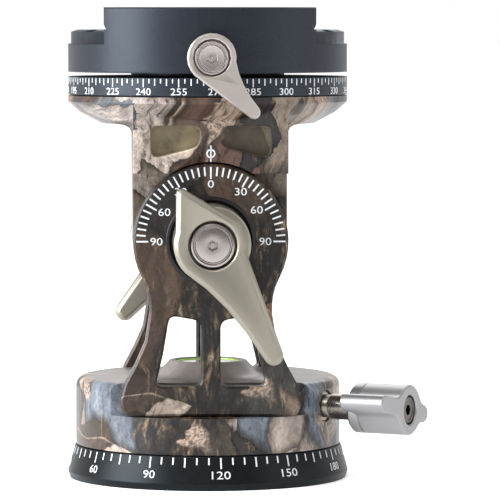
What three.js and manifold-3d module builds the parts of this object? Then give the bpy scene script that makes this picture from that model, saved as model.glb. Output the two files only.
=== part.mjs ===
// Two-way monopod head: a panning base, a tilting upper body between two upright plates,
// and a panning quick-release clamp on top. Millimetres, +Z up, origin at the centre of the foot.
// The viewer of the tilt dial looks along +Y, so the dial faces -Y.
import * as THREE from 'three';
import { mergeVertices } from 'three/addons/utils/BufferGeometryUtils.js';
import Module from 'manifold-3d';

const wasm = await Module();
wasm.setup();

// Clearances and cutting tools
const seatGap = 0.3;
const overrun = 2;

// Facet counts of turned forms
const turns = { large: 64, medium: 32, small: 16, tiny: 12 };
const cornerSteps = 4;
const hexSides = 6;

// Foot with the lower scale, and the drum that the housing turns on
const foot = {
  radius: 37.8, rimRadius: 38.3, topRadius: 36.3, bevelHeight: 1.8, height: 9,
  drumRadius: 20, drumHeight: 15, grooveDepth: 0.8, boltRadius: 3.3, boltDepth: 12,
};
const studSocket = { threadRadius: 4.76, wall: 1.9, depth: 9.6 };
const thrustWasher = { innerRadius: 25, outerRadius: 33.5, thickness: 0.7 };
const panBush = { wall: 2.2, height: 6.5 };

// Housing that carries the upright plates
const housing = {
  radius: 36.1, height: 18.3, edgeRadius: 2.5, roof: 2.4, hubRadius: 10,
  bossTopRadius: 10.4, bossRadius: 13.6, bossFootRadius: 15.4, bossHeight: 4.2, bossRound: 0.6,
  bossFlare: 0.9,
};
const panBolt = { headRadius: 5.6, headHeight: 2.1, counterbore: 2.7, shankRadius: 3, length: 13 };
const level = { radius: 8.7, depth: 2.7, ringWall: 1.1, lensDrop: 0.5 };

// Upright plates
const plate = {
  outerFace: 31.5, thickness: 7, headRadius: 20.7, waist: 16.3, waistHeight: 46.8, footWidth: 24.1,
  footHeight: 23.6, bottom: 19.3, footCorner: 2.6, bevel: 0.6, hubRecessRadius: 11.4, hubRecessDepth: 3.9,
};
const plateWindow = {
  rib: 5.2, bottom: 27.2, top: 46.2, topWidth: 8.4, waistShare: 0.45, bottomWidth: 12.2, cornerRadius: 2.1,
  crown: 1.5,
};
const footScrew = { offset: 14, height: 22.2, headRadius: 2.3, headHeight: 2.8, shankRadius: 1.5, bite: 4.6 };

// Tilt joint
const tilt = { height: 65.9, axleRadius: 5, discThickness: 1, discRadius: 18.6 };
const tiltWasher = { radius: 10.2, thickness: 0.7 };

// Lever shared by both ends of the tilt axle, drawn with its arm in the photographed direction
const lever = {
  bodyThickness: 7.7, hubRadius: 10.2, hubGap: 11.8, leftShoulder: 10.2, rightShoulder: 8.9,
  tailX: 15.9, tailDrop: 28.9, tailRadius: 2.6, beakX: 8.1, beakRise: 13.3, beakRadius: 1.4,
  screwRecess: 6.4, recessDepth: 4.6, bevel: 1.1,
};
const leverScrew = { headRadius: 4.6, headHeight: 3.6, socketRadius: 1.45, socketDepth: 2, shankRadius: 2.6, bite: 3.2 };
const rearLeverTurn = THREE.MathUtils.degToRad(14);

// Tilting upper body
const upper = {
  halfWidth: 20.6, barrelRadius: 20.6, cheekBottom: 83.9, headGap: 0.45, flangeRadius: 38, flangeTop: 104.2,
  flangeEdge: 1.7, shoulderRadius: 34.9, shoulderDrop: 4.5, underRadius: 29.2, underDrop: 7.5, filletRadius: 3.8,
  accessRadius: 7.5, shoulderTop: 92, shoulderThickness: 2.3,
};
const pocket = {
  inner: 2.7, outer: 15.9, top: 96.6, bottom: 87.8, innerBottom: 91.2, depth: 5,
  topCorner: 1.8, bottomCorner: 2.8, innerCorner: 2.4,
};

// Upper scale ring and its countersunk screws
const scaleRing = { radius: 38, height: 4.8 };
const ringScrew = { circleRadius: 29, headRadius: 2.8, headHeight: 1.6, shankRadius: 1.5, length: 7, count: 4 };

// Panning spindle of the clamp
const spindle = { flangeRadius: 20.9, flangeInset: 1.7, lift: 1.25, hubRadius: 12, bushWall: 1.7 };
const spindleScrew = { circleRadius: 16.5, headRadius: 2.4, headHeight: 1.3, shankRadius: 1.4, bite: 4.2, count: 3 };
const keeper = { washerRadius: 7.1, washerThickness: 1.1, headRadius: 5, headHeight: 3.6, shankRadius: 2.9, bite: 7 };

// Quick-release clamp
const clamp = {
  radius: 38, wingRadius: 37.2, wingTopRadius: 35.4, stepHeight: 7.65, wingHeight: 10.85, floorHeight: 11.45,
  jawHeight: 6, jawHalfLength: 28.3, jawUndercut: 0.7, undercutHeight: 1.4, grooveHalfWidth: 19.2,
  lipHalfWidth: 16.2, lipBase: 1.5, lipTop: 4.5, splitY: 20, sill: 1.9, edge: 0.4,
  seatHalfWidth: 15.9, reliefDepth: 0.6,
};
const drawBolt = {
  height: 4.15, shankRadius: 2, headRadius: 3.5, headHeight: 2.6, socketRadius: 1.75, socketDepth: 1.6, bite: 11,
};
const guidePin = { offset: 15, height: 5.35, radius: 1.5, inBody: 12, inJaw: 12 };
const spring = { wireRadius: 0.42, length: 5.4, loops: 5, stepsPerLoop: 8, wireSides: 5 };

// Small lever of the clamp
const clampLever = {
  standoff: 0.6, thickness: 4.4, hubRadius: 6.5, tailX: 11, tailDrop: 14.3, tailRadius: 1.8, bevel: 0.4,
  recessRadius: 4.9, recessDepth: 2.4, washerRadius: 4.3, washerThickness: 0.5,
};

// Pan lock: a screw through the housing wall with a two-winged knob
const panLock = {
  turn: THREE.MathUtils.degToRad(-29), height: 20.6, padRadius: 2.2, padLength: 2.3, screwRadius: 2.4,
  bushRadius: 4, bushLength: 9, collarRadius: 3.1, collarLength: 1.5, stemRadius: 3.5, stemLength: 8.4,
};
const knob = {
  start: 45, length: 16, radius: 6.7, wingLength: 12.6, longWing: 18, shortWing: 11.6, wingHalf: 2.25,
  blend: 3.2, recessRadius: 4, recessDepth: 3.4, tilt: THREE.MathUtils.degToRad(11), chamfer: 0.7,
};
const knobScrew = {
  headRadius: 3.3, headHeight: 2.6, socketRadius: 1.45, socketDepth: 1.4, shankRadius: 1.2, bite: 5,
};

// Heights that follow from the sizes above
const housingBottom = foot.height + seatGap;
const housingTop = housingBottom + housing.height;
const cavityTop = housingTop - housing.roof;
const washerFloor = foot.height - thrustWasher.thickness - seatGap;
const drumTop = foot.height + foot.drumHeight;
const bossTop = housingTop + housing.bossHeight;
const cavityRadius = foot.drumRadius + panBush.wall + 2 * seatGap;
const levelFloor = bossTop - level.depth - seatGap;
const plateInner = plate.outerFace - plate.thickness;
const recessFloor = plate.outerFace - plate.hubRecessDepth;
const axleHalf = recessFloor - seatGap;
const barrelHalf = plateInner - tilt.discThickness - 2 * seatGap;
const leverBack = plate.outerFace + lever.hubGap;
const leverFront = leverBack + lever.bodyThickness;
const hubBottom = recessFloor + tiltWasher.thickness + 2 * seatGap;
const ringBottom = upper.flangeTop + seatGap;
const ringTop = ringBottom + scaleRing.height;
const clampBottom = ringTop + spindle.lift;
const clampFloor = clampBottom + clamp.floorHeight;
const reliefFloor = clampFloor - clamp.reliefDepth;
const clampTop = clampFloor + clamp.jawHeight;
const drawHeight = clampBottom + drawBolt.height;
const pinHeight = clampBottom + guidePin.height;
const bushOuter = spindle.hubRadius + seatGap + spindle.bushWall;

// Finishes
const finish = (color, roughness, metalness) => new THREE.MeshStandardMaterial({ color, roughness, metalness });
const camo = finish(0x5c5040, 0.4, 0.1);
const blackAnodised = finish(0x1c1e22, 0.45, 0.5);
const satinSilver = finish(0xa9a69c, 0.35, 0.9);
const steel = finish(0x9a9794, 0.3, 1);
const brass = finish(0xb08d4a, 0.35, 1);
const polymer = finish(0xd8d5cc, 0.6, 0);
const levelGlass = finish(0xb9e06a, 0.1, 0);

const head = new THREE.Group();

// Turns a closed three.js geometry into a solid that can be joined and cut
function solidOf(geometry) {
  geometry.deleteAttribute('normal');
  geometry.deleteAttribute('uv');
  const merged = mergeVertices(geometry, 1e-4);
  const index = merged.index.array;
  const kept = [];
  for (let i = 0; i < index.length; i += 3) {
    const [a, b, c] = [index[i], index[i + 1], index[i + 2]];
    if (a !== b && b !== c && a !== c) kept.push(a, b, c);
  }
  return new wasm.Manifold(new wasm.Mesh({
    numProp: 3,
    vertProperties: new Float32Array(merged.attributes.position.array),
    triVerts: new Uint32Array(kept),
  }));
}

function geometryOf(solid) {
  const data = solid.getMesh();
  const geometry = new THREE.BufferGeometry();
  geometry.setAttribute('position', new THREE.BufferAttribute(new Float32Array(data.vertProperties), 3));
  geometry.setIndex(new THREE.BufferAttribute(new Uint32Array(data.triVerts), 1));
  geometry.computeVertexNormals();
  return geometry;
}

// Adds one named piece to the head and returns its mesh
function addPiece(name, solid, material) {
  const mesh = new THREE.Mesh(geometryOf(solid), material);
  mesh.name = name;
  head.add(mesh);
  return mesh;
}

// Revolves [radius, height] points about the Z axis. The profile runs from the bottom outwards and up.
function turned(points, segments) {
  const profile = points.map(([radius, height]) => new THREE.Vector2(radius, height));
  const closed = points[0][0] > 0 || points[points.length - 1][0] > 0;
  if (closed) profile.push(profile[0].clone());
  const geometry = new THREE.LatheGeometry(profile, segments);
  geometry.rotateX(Math.PI / 2);
  return solidOf(geometry);
}

// A round bar along Z
function bar(radius, bottom, top, segments) {
  return turned([[0, bottom], [radius, bottom], [radius, top], [0, top]], segments);
}

// A tube along Z
function sleeve(inner, outer, bottom, top, segments) {
  return turned([[inner, bottom], [outer, bottom], [outer, top], [inner, top]], segments);
}

// Moves a solid whose axis is Z so that Z points along +Y or -Y from the given place
function alongY(solid, x, z, direction) {
  return solid.rotate([-90 * direction, 0, 0]).translate([x, 0, z]);
}

function block(xLow, xHigh, yLow, yHigh, zLow, zHigh) {
  const geometry = new THREE.BoxGeometry(xHigh - xLow, yHigh - yLow, zHigh - zLow);
  geometry.translate((xLow + xHigh) / 2, (yLow + yHigh) / 2, (zLow + zHigh) / 2);
  return solidOf(geometry);
}

// Extrudes a shape drawn in X and Z from yLow to yHigh, with an optional bevel on both faces
function panel(shape, yLow, yHigh, bevel = 0) {
  const geometry = new THREE.ExtrudeGeometry(shape, {
    depth: yHigh - yLow - 2 * bevel,
    bevelEnabled: bevel > 0,
    bevelThickness: bevel,
    bevelSize: bevel,
    bevelOffset: -bevel,
    bevelSegments: 1,
    curveSegments: cornerSteps,
  });
  geometry.rotateX(Math.PI / 2);
  geometry.translate(0, yHigh - bevel, 0);
  return solidOf(geometry);
}

// A polygon with rounded corners. Each corner is [x, z, radius].
function roundedShape(corners, path = new THREE.Shape()) {
  const count = corners.length;
  corners.forEach(([x, z, radius], i) => {
    const [px, pz] = corners[(i + count - 1) % count];
    const [nx, nz] = corners[(i + 1) % count];
    const inLength = Math.hypot(px - x, pz - z);
    const outLength = Math.hypot(nx - x, nz - z);
    const inReach = Math.min(radius, inLength / 2) / inLength;
    const outReach = Math.min(radius, outLength / 2) / outLength;
    const start = [x + (px - x) * inReach, z + (pz - z) * inReach];
    const end = [x + (nx - x) * outReach, z + (nz - z) * outReach];
    if (i === 0) path.moveTo(...start);
    else path.lineTo(...start);
    path.quadraticCurveTo(x, z, ...end);
  });
  path.closePath();
  return path;
}

// Points of an arc in X and Z, angles from +X
function arcPoints(cx, cz, radius, from, to, steps) {
  return Array.from({ length: steps + 1 }, (_, i) => {
    const angle = from + (to - from) * i / steps;
    return [cx + radius * Math.cos(angle), cz + radius * Math.sin(angle)];
  });
}

// A cap screw along +Z: its shank starts at the bottom, its head ends at the top with a hex socket
function capScrew(sizes, headBottom, shankBottom) {
  const headTop = headBottom + sizes.headHeight;
  const chamfer = sizes.headHeight / 8;
  const body = turned([
    [0, shankBottom], [sizes.shankRadius, shankBottom], [sizes.shankRadius, headBottom],
    [sizes.headRadius, headBottom], [sizes.headRadius, headTop - chamfer],
    [sizes.headRadius - chamfer, headTop], [0, headTop],
  ], turns.small);
  return body.subtract(bar(sizes.socketRadius, headTop - sizes.socketDepth, headTop + overrun, hexSides));
}

// Foot: a cone with the lower scale, a washer groove, the drum and both threaded holes
function makeFoot() {
  const socketOuter = studSocket.threadRadius + studSocket.wall;
  const skirt = turned([
    [0, 0], [foot.radius, 0], [foot.rimRadius, foot.bevelHeight], [foot.topRadius, foot.height], [0, foot.height],
  ], turns.large);
  const groove = sleeve(thrustWasher.innerRadius - seatGap, thrustWasher.outerRadius + seatGap, washerFloor,
    foot.height + overrun, turns.medium);
  const drum = turned([
    [0, 0], [foot.drumRadius, 0],
    [foot.drumRadius, panLock.height - panLock.padRadius], [foot.drumRadius - foot.grooveDepth, panLock.height],
    [foot.drumRadius, panLock.height + panLock.padRadius], [foot.drumRadius, drumTop], [0, drumTop],
  ], turns.medium);
  const body = skirt.subtract(groove).add(drum);
  const socket = bar(socketOuter + seatGap, -overrun, studSocket.depth + seatGap, turns.medium);
  const boltHole = bar(foot.boltRadius, drumTop - foot.boltDepth, drumTop + overrun, turns.small);
  addPiece('foot_scale_base', body.subtract(socket).subtract(boltHole), blackAnodised);
  addPiece('stud_insert',
    sleeve(studSocket.threadRadius, socketOuter, 0, studSocket.depth, turns.medium), steel);
  addPiece('pan_thrust_washer', sleeve(thrustWasher.innerRadius, thrustWasher.outerRadius,
    washerFloor + seatGap, foot.height, turns.medium), polymer);
  const bushInner = foot.drumRadius + seatGap;
  addPiece('pan_bush', sleeve(bushInner, bushInner + panBush.wall, housingBottom,
    housingBottom + panBush.height, turns.medium), brass);
}

// Housing: a drum-shaped shell with a domed edge, a central boss and a flat for each plate
function makeHousing() {
  const edge = arcPoints(housing.radius - housing.edgeRadius, housingTop - housing.edgeRadius,
    housing.edgeRadius, 0, Math.PI / 2, cornerSteps);
  const bossWall = bossTop - housing.bossRound;
  const shell = turned([
    [0, housingBottom], [housing.radius, housingBottom], ...edge,
    [housing.bossFootRadius, housingTop], [housing.bossRadius, housingTop + housing.bossFlare],
    [housing.bossTopRadius + housing.bossRound, bossWall], [housing.bossTopRadius, bossTop], [0, bossTop],
  ], turns.large);
  const hollow = turned([
    [0, housingBottom - overrun], [cavityRadius, housingBottom - overrun], [cavityRadius, cavityTop],
    [housing.hubRadius, cavityTop], [housing.hubRadius, drumTop + seatGap],
    [panBolt.shankRadius + seatGap, drumTop + seatGap],
    [panBolt.shankRadius + seatGap, levelFloor - panBolt.counterbore],
    [panBolt.headRadius + seatGap, levelFloor - panBolt.counterbore], [panBolt.headRadius + seatGap, levelFloor],
    [level.radius + seatGap, levelFloor], [level.radius + seatGap, bossTop + overrun], [0, bossTop + overrun],
  ], turns.medium);
  let body = shell.subtract(hollow);
  const reach = housing.radius + overrun;
  const flatFace = plateInner - seatGap;
  const flatBottom = plate.bottom - seatGap;
  for (const side of [-1, 1]) {
    const near = side * flatFace;
    const far = side * reach;
    body = body.subtract(block(-reach, reach, Math.min(near, far), Math.max(near, far),
      flatBottom, bossTop + overrun));
    for (const x of [-footScrew.offset, footScrew.offset]) {
      const shankHole = bar(footScrew.shankRadius + seatGap, foot.drumRadius / 2, reach, turns.tiny);
      const headHole = bar(footScrew.headRadius + seatGap, foot.drumRadius / 2, footHeadOuter() + seatGap, turns.tiny);
      body = body.subtract(alongY(shankHole, x, footScrew.height, side));
      body = body.subtract(alongY(headHole, x, footScrew.height, side));
    }
  }
  const lockHole = alongLock(bar(panLock.bushRadius + seatGap, foot.drumRadius, reach, turns.small));
  addPiece('pan_housing', body.subtract(lockHole), camo);

  const headBottom = levelFloor - panBolt.counterbore + seatGap;
  addPiece('pan_bolt', turned([
    [0, headBottom - panBolt.length], [panBolt.shankRadius, headBottom - panBolt.length],
    [panBolt.shankRadius, headBottom], [panBolt.headRadius, headBottom],
    [panBolt.headRadius, headBottom + panBolt.headHeight], [0, headBottom + panBolt.headHeight],
  ], turns.small), steel);
}

// Where the inward head of a foot screw ends, measured from the middle plane
function footHeadOuter() {
  return plateInner - seatGap - footScrew.headHeight / 2;
}

// Bull's-eye level: a cup with a shallow glass lens
function makeLevel() {
  const bottom = levelFloor + seatGap;
  const top = bossTop - seatGap;
  const glassRadius = level.radius - level.ringWall;
  const glassBottom = top - level.lensDrop - seatGap;
  addPiece('level_cup', turned([
    [0, bottom], [level.radius, bottom], [level.radius, top], [glassRadius + seatGap, top],
    [glassRadius + seatGap, glassBottom - seatGap], [0, glassBottom - seatGap],
  ], turns.medium), steel);
  addPiece('level_lens', bar(glassRadius, glassBottom, top - seatGap / 2, turns.medium), levelGlass);
}

// Outline of an upright plate: a round head, a drawn-in waist and a flared foot
function plateOutline() {
  const shape = new THREE.Shape();
  const headDrop = Math.asin((tilt.height - plate.waistHeight) / 2 / plate.headRadius);
  const waistPull = (plate.waistHeight - plate.footHeight) / 2;
  const right = arcPoints(0, tilt.height, plate.headRadius, -headDrop, Math.PI + headDrop, turns.medium);
  shape.moveTo(...right[0]);
  right.slice(1).forEach((point) => shape.lineTo(...point));
  shape.bezierCurveTo(
    -plate.waist, plate.waistHeight + waistPull / 2, -plate.waist, plate.waistHeight + waistPull / 4,
    -plate.waist, plate.waistHeight);
  shape.bezierCurveTo(
    -plate.waist, plate.waistHeight - waistPull, -plate.footWidth, plate.footHeight + waistPull / 2,
    -plate.footWidth, plate.footHeight);
  shape.quadraticCurveTo(-plate.footWidth, plate.bottom, -plate.footWidth + plate.footCorner, plate.bottom);
  shape.lineTo(plate.footWidth - plate.footCorner, plate.bottom);
  shape.quadraticCurveTo(plate.footWidth, plate.bottom, plate.footWidth, plate.footHeight);
  shape.bezierCurveTo(
    plate.footWidth, plate.footHeight + waistPull / 2, plate.waist, plate.waistHeight - waistPull,
    plate.waist, plate.waistHeight);
  shape.bezierCurveTo(
    plate.waist, plate.waistHeight + waistPull / 4, plate.waist, plate.waistHeight + waistPull / 2, ...right[0]);
  return shape;
}

// One of the two windows beside a plate's rib. side is 1 or -1.
function windowOutline(side) {
  const inner = side * plateWindow.rib / 2;
  const topOuter = inner + side * plateWindow.topWidth;
  const bottomOuter = inner + side * plateWindow.bottomWidth;
  const waistHeight = plateWindow.bottom + (plateWindow.top - plateWindow.bottom) * plateWindow.waistShare;
  const waistOuter = topOuter + (bottomOuter - topOuter) * plateWindow.waistShare;
  const r = plateWindow.cornerRadius;
  return roundedShape([
    [inner, plateWindow.bottom, r], [bottomOuter, plateWindow.bottom, r],
    [waistOuter, waistHeight, r], [topOuter, plateWindow.top, r],
    [inner, plateWindow.top - plateWindow.crown, r],
  ], new THREE.Path());
}

function makePlates() {
  const shape = plateOutline();
  shape.holes.push(windowOutline(-1), windowOutline(1));
  for (const [name, side] of [['front_plate', -1], ['rear_plate', 1]]) {
    const near = side * plateInner;
    const far = side * plate.outerFace;
    let body = panel(shape, Math.min(near, far), Math.max(near, far), plate.bevel);
    const axleHole = bar(tilt.axleRadius + seatGap, 0, plate.outerFace, turns.medium);
    const recess = bar(plate.hubRecessRadius, recessFloor, plate.outerFace + overrun, turns.medium);
    body = body.subtract(alongY(axleHole, 0, tilt.height, side));
    body = body.subtract(alongY(recess, 0, tilt.height, side));
    for (const x of [-footScrew.offset, footScrew.offset]) {
      const hole = bar(footScrew.shankRadius + seatGap, 0, plateInner + footScrew.bite + seatGap, turns.tiny);
      body = body.subtract(alongY(hole, x, footScrew.height, side));
    }
    addPiece(name, body, camo);
  }
  for (const [face, side] of [['front', -1], ['rear', 1]]) {
    for (const [hand, x] of [['left', -footScrew.offset], ['right', footScrew.offset]]) {
      const headOuter = footHeadOuter();
      const headInner = headOuter - footScrew.headHeight;
      const screw = turned([
        [0, headInner], [footScrew.headRadius, headInner], [footScrew.headRadius, headOuter],
        [footScrew.shankRadius, headOuter], [footScrew.shankRadius, plateInner + footScrew.bite],
        [0, plateInner + footScrew.bite],
      ], turns.tiny);
      addPiece(`${face}_foot_screw_${hand}`, alongY(screw, x, footScrew.height, side), steel);
    }
  }
}

// Tilt axle with a tapped hole in each end
function makeTiltAxle() {
  const holeRadius = leverScrew.shankRadius + seatGap;
  const holeBottom = axleHalf - leverScrew.bite - seatGap;
  const axle = bar(tilt.axleRadius, -axleHalf, axleHalf, turns.medium)
    .subtract(bar(holeRadius, holeBottom, axleHalf + overrun, turns.small))
    .subtract(bar(holeRadius, -axleHalf - overrun, -holeBottom, turns.small));
  addPiece('tilt_axle', alongY(axle, 0, tilt.height, 1), steel);
}

// Side outline of a locking lever: hub, tapered arm with a round tail, and a beak on the far side
function leverOutline() {
  const { leftShoulder, rightShoulder } = lever;
  const shape = new THREE.Shape();
  const lean = Math.atan2(lever.tailX, lever.tailDrop);
  const tail = arcPoints(lever.tailX, -lever.tailDrop, lever.tailRadius, -Math.PI + lean, lean, turns.tiny);
  shape.moveTo(...tail[0]);
  tail.slice(1).forEach((point) => shape.lineTo(...point));
  shape.quadraticCurveTo(lever.tailX - lever.tailRadius, -lever.tailDrop / 2, rightShoulder, -rightShoulder / 4);
  const hubRight = arcPoints(0, 0, rightShoulder, -Math.PI / 13, Math.PI / 4, cornerSteps);
  hubRight.forEach((point) => shape.lineTo(...point));
  const beak = arcPoints(-lever.beakX, lever.beakRise, lever.beakRadius, Math.PI / 3, Math.PI, cornerSteps);
  beak.forEach((point) => shape.lineTo(...point));
  const hubLeft = arcPoints(0, 0, leftShoulder, Math.PI - Math.PI / 9, Math.PI + Math.PI / 4, 2 * cornerSteps);
  hubLeft.forEach((point) => shape.lineTo(...point));
  shape.quadraticCurveTo(lever.tailX / 4, -lever.tailDrop / 2, ...tail[0]);
  return shape;
}

// Lever body for the dial side, with its hub towards +Y and the screw recess on its face
function leverBody() {
  const plane = panel(leverOutline(), -leverFront, -leverBack, lever.bevel);
  const hub = alongY(bar(lever.hubRadius, hubBottom, leverBack + lever.bodyThickness / 2, turns.medium), 0, 0, -1);
  const recess = alongY(bar(lever.screwRecess, leverFront - lever.recessDepth, leverFront + overrun,
    turns.medium), 0, 0, -1);
  const bore = alongY(bar(leverScrew.shankRadius + seatGap, 0, leverFront + overrun, turns.small), 0, 0, -1);
  return plane.add(hub).subtract(recess).subtract(bore);
}

// Both levers, their screws and their washers. The rear set is the front one turned about the upright axis.
function makeLevers() {
  const headBottom = leverFront - lever.recessDepth + seatGap;
  const screw = capScrew(leverScrew, headBottom, axleHalf - leverScrew.bite);
  const washer = sleeve(tilt.axleRadius + seatGap, tiltWasher.radius, recessFloor + seatGap,
    recessFloor + seatGap + tiltWasher.thickness, turns.medium);
  const sets = [
    { prefix: 'tilt', turn: 0, spin: 0 },
    { prefix: 'drag', turn: 180, spin: -THREE.MathUtils.radToDeg(rearLeverTurn) },
  ];
  for (const { prefix, turn, spin } of sets) {
    const place = (solid) => solid.rotate([0, spin, 0]).rotate([0, 0, turn]).translate([0, 0, tilt.height]);
    addPiece(`${prefix}_lever`, place(leverBody()), satinSilver);
    addPiece(`${prefix}_lever_screw`, place(alongY(screw, 0, 0, -1)), steel);
    addPiece(`${prefix}_washer`, place(alongY(washer, 0, 0, -1)), steel);
  }
}

// Flared flange under the scale ring
function flange() {
  const under = upper.flangeTop - upper.underDrop;
  return turned([
    [0, under], [upper.underRadius, under], [upper.shoulderRadius, upper.flangeTop - upper.shoulderDrop],
    [upper.flangeRadius, upper.flangeTop - upper.flangeEdge], [upper.flangeRadius, upper.flangeTop],
    [0, upper.flangeTop],
  ], turns.large);
}

// Recess beside the index mark. side is 1 or -1.
function pocketOutline(side) {
  return roundedShape([
    [side * pocket.inner, pocket.top, pocket.innerCorner],
    [side * pocket.outer, pocket.top, pocket.topCorner],
    [side * pocket.outer, pocket.bottom, pocket.bottomCorner],
    [side * pocket.inner, pocket.innerBottom, pocket.innerCorner],
  ]);
}

// Tilting body: a barrel between the plates, cheeks over the plate heads, and a flange
function makeUpperBody() {
  const under = upper.flangeTop - upper.underDrop;
  const w = upper.halfWidth;
  const cheekRadius = plate.headRadius + upper.headGap;
  const barrel = alongY(bar(upper.barrelRadius, -barrelHalf, barrelHalf, turns.large), 0, tilt.height, 1);
  const core = block(-w, w, -barrelHalf, barrelHalf, tilt.height, under + seatGap);
  let cheeks = block(-w, w, -plate.outerFace, plate.outerFace, upper.cheekBottom, upper.flangeTop);
  cheeks = cheeks.intersect(bar(upper.flangeRadius, 0, upper.flangeTop, turns.large));
  for (const side of [-1, 1]) {
    const clearance = bar(cheekRadius, barrelHalf, plate.outerFace + overrun, turns.large);
    cheeks = cheeks.subtract(alongY(clearance, 0, tilt.height, side));
    for (const hand of [-1, 1]) {
      const outer = side * (plate.outerFace + overrun);
      const floor = side * (plate.outerFace - pocket.depth);
      cheeks = cheeks.subtract(panel(pocketOutline(hand), Math.min(outer, floor), Math.max(outer, floor)));
    }
  }
  let body = barrel.add(core).add(flange()).add(cheeks);
  for (const side of [-1, 1]) {
    const r = upper.filletRadius;
    const fillet = new THREE.Shape();
    fillet.moveTo(side * (w - r), under + seatGap);
    fillet.lineTo(side * (w - r), under - r);
    fillet.lineTo(side * w, under - r);
    fillet.quadraticCurveTo(side * w, under, side * (w + r), under);
    fillet.lineTo(side * (w + r), under + seatGap);
    fillet.closePath();
    const strip = panel(fillet, -plate.outerFace, plate.outerFace)
      .intersect(bar(upper.underRadius, 0, upper.flangeTop, turns.large));
    body = body.add(strip);
  }
  body = body
    .subtract(alongY(bar(tilt.axleRadius + seatGap, -plate.outerFace, plate.outerFace, turns.medium), 0, tilt.height, 1))
    .subtract(bar(bushOuter + seatGap, upper.shoulderTop, upper.flangeTop + overrun, turns.medium))
    .subtract(bar(keeper.shankRadius + seatGap, upper.cheekBottom, upper.flangeTop, turns.small))
    .subtract(bar(upper.accessRadius, 0, upper.shoulderTop - upper.shoulderThickness, turns.medium));
  for (const [x, y] of ringScrewPlaces()) {
    const hole = bar(ringScrew.shankRadius + seatGap, ringTop - ringScrew.length - seatGap,
      upper.flangeTop + overrun, turns.tiny);
    body = body.subtract(hole.translate([x, y, 0]));
  }
  addPiece('tilt_body', body, camo);

  const disc = sleeve(tilt.axleRadius + seatGap, tilt.discRadius, barrelHalf + seatGap,
    barrelHalf + seatGap + tilt.discThickness, turns.medium);
  addPiece('front_friction_disc', alongY(disc, 0, tilt.height, -1), polymer);
  addPiece('rear_friction_disc', alongY(disc, 0, tilt.height, 1), polymer);
  addPiece('top_pan_bush', sleeve(spindle.hubRadius + seatGap, bushOuter, upper.shoulderTop + seatGap,
    ringTop - seatGap, turns.medium), brass);
}

function ringPlaces(count, radius, share) {
  return Array.from({ length: count }, (_, i) => {
    const angle = 2 * Math.PI * (i + share) / count;
    return [radius * Math.cos(angle), radius * Math.sin(angle)];
  });
}

function ringScrewPlaces() {
  const halfStepShare = 0.5;
  return ringPlaces(ringScrew.count, ringScrew.circleRadius, halfStepShare);
}

// Upper scale ring, held by countersunk screws that the clamp covers
function makeScaleRing() {
  let ring = bar(scaleRing.radius, ringBottom, ringTop, turns.large)
    .subtract(bar(bushOuter + seatGap, 0, ringTop + overrun, turns.medium));
  const headTop = ringTop - seatGap;
  const headBottom = headTop - ringScrew.headHeight;
  const shankBottom = ringTop - ringScrew.length;
  const screwProfile = [
    [0, shankBottom], [ringScrew.shankRadius, shankBottom], [ringScrew.shankRadius, headBottom],
    [ringScrew.headRadius, headTop], [0, headTop],
  ];
  const sink = turned([
    [0, shankBottom - overrun], [ringScrew.shankRadius + seatGap, shankBottom - overrun],
    [ringScrew.shankRadius + seatGap, headBottom - seatGap / 2],
    [ringScrew.headRadius + seatGap, headTop - seatGap / 2],
    [ringScrew.headRadius + seatGap, ringTop + overrun], [0, ringTop + overrun],
  ], turns.tiny);
  ringScrewPlaces().forEach(([x, y], i) => {
    ring = ring.subtract(sink.translate([x, y, 0]));
    addPiece(`ring_screw_${i + 1}`, turned(screwProfile, turns.tiny).translate([x, y, 0]), steel);
  });
  addPiece('top_scale_ring', ring, blackAnodised);
}

// Spindle under the clamp, its screws, and the keeper washer and screw from below
function makeSpindle() {
  const flangeBottom = ringTop + seatGap;
  const flangeTop = clampBottom + spindle.flangeInset;
  const hubBottomHeight = upper.shoulderTop + seatGap;
  const screwReach = hubBottomHeight + keeper.bite;
  let body = turned([
    [0, hubBottomHeight], [spindle.hubRadius, hubBottomHeight], [spindle.hubRadius, flangeBottom],
    [spindle.flangeRadius, flangeBottom], [spindle.flangeRadius, flangeTop], [0, flangeTop],
  ], turns.medium).subtract(bar(keeper.shankRadius + seatGap, 0, screwReach + seatGap, turns.small));
  const headTop = flangeBottom + spindleScrew.headHeight;
  const profile = [
    [0, flangeBottom], [spindleScrew.headRadius, flangeBottom], [spindleScrew.shankRadius, headTop],
    [spindleScrew.shankRadius, flangeTop + spindleScrew.bite], [0, flangeTop + spindleScrew.bite],
  ];
  const sink = turned([
    [0, flangeBottom - overrun], [spindleScrew.headRadius + seatGap, flangeBottom - overrun],
    [spindleScrew.headRadius + seatGap, flangeBottom + seatGap / 2],
    [spindleScrew.shankRadius + seatGap, headTop + seatGap / 2],
    [spindleScrew.shankRadius + seatGap, flangeTop + overrun], [0, flangeTop + overrun],
  ], turns.tiny);
  ringPlaces(spindleScrew.count, spindleScrew.circleRadius, 0).forEach(([x, y], i) => {
    body = body.subtract(sink.translate([x, y, 0]));
    addPiece(`spindle_screw_${i + 1}`, turned(profile, turns.tiny).translate([x, y, 0]), steel);
  });
  addPiece('clamp_spindle', body, blackAnodised);

  const washerTop = upper.shoulderTop - upper.shoulderThickness - seatGap;
  const washerBottom = washerTop - keeper.washerThickness;
  const headSeat = washerBottom - seatGap;
  addPiece('keeper_washer', sleeve(keeper.shankRadius + seatGap, keeper.washerRadius, washerBottom,
    washerTop, turns.small), steel);
  addPiece('keeper_screw', turned([
    [0, headSeat - keeper.headHeight], [keeper.headRadius, headSeat - keeper.headHeight],
    [keeper.headRadius, headSeat], [keeper.shankRadius, headSeat], [keeper.shankRadius, screwReach],
    [0, screwReach],
  ], turns.small), steel);
}

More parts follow.
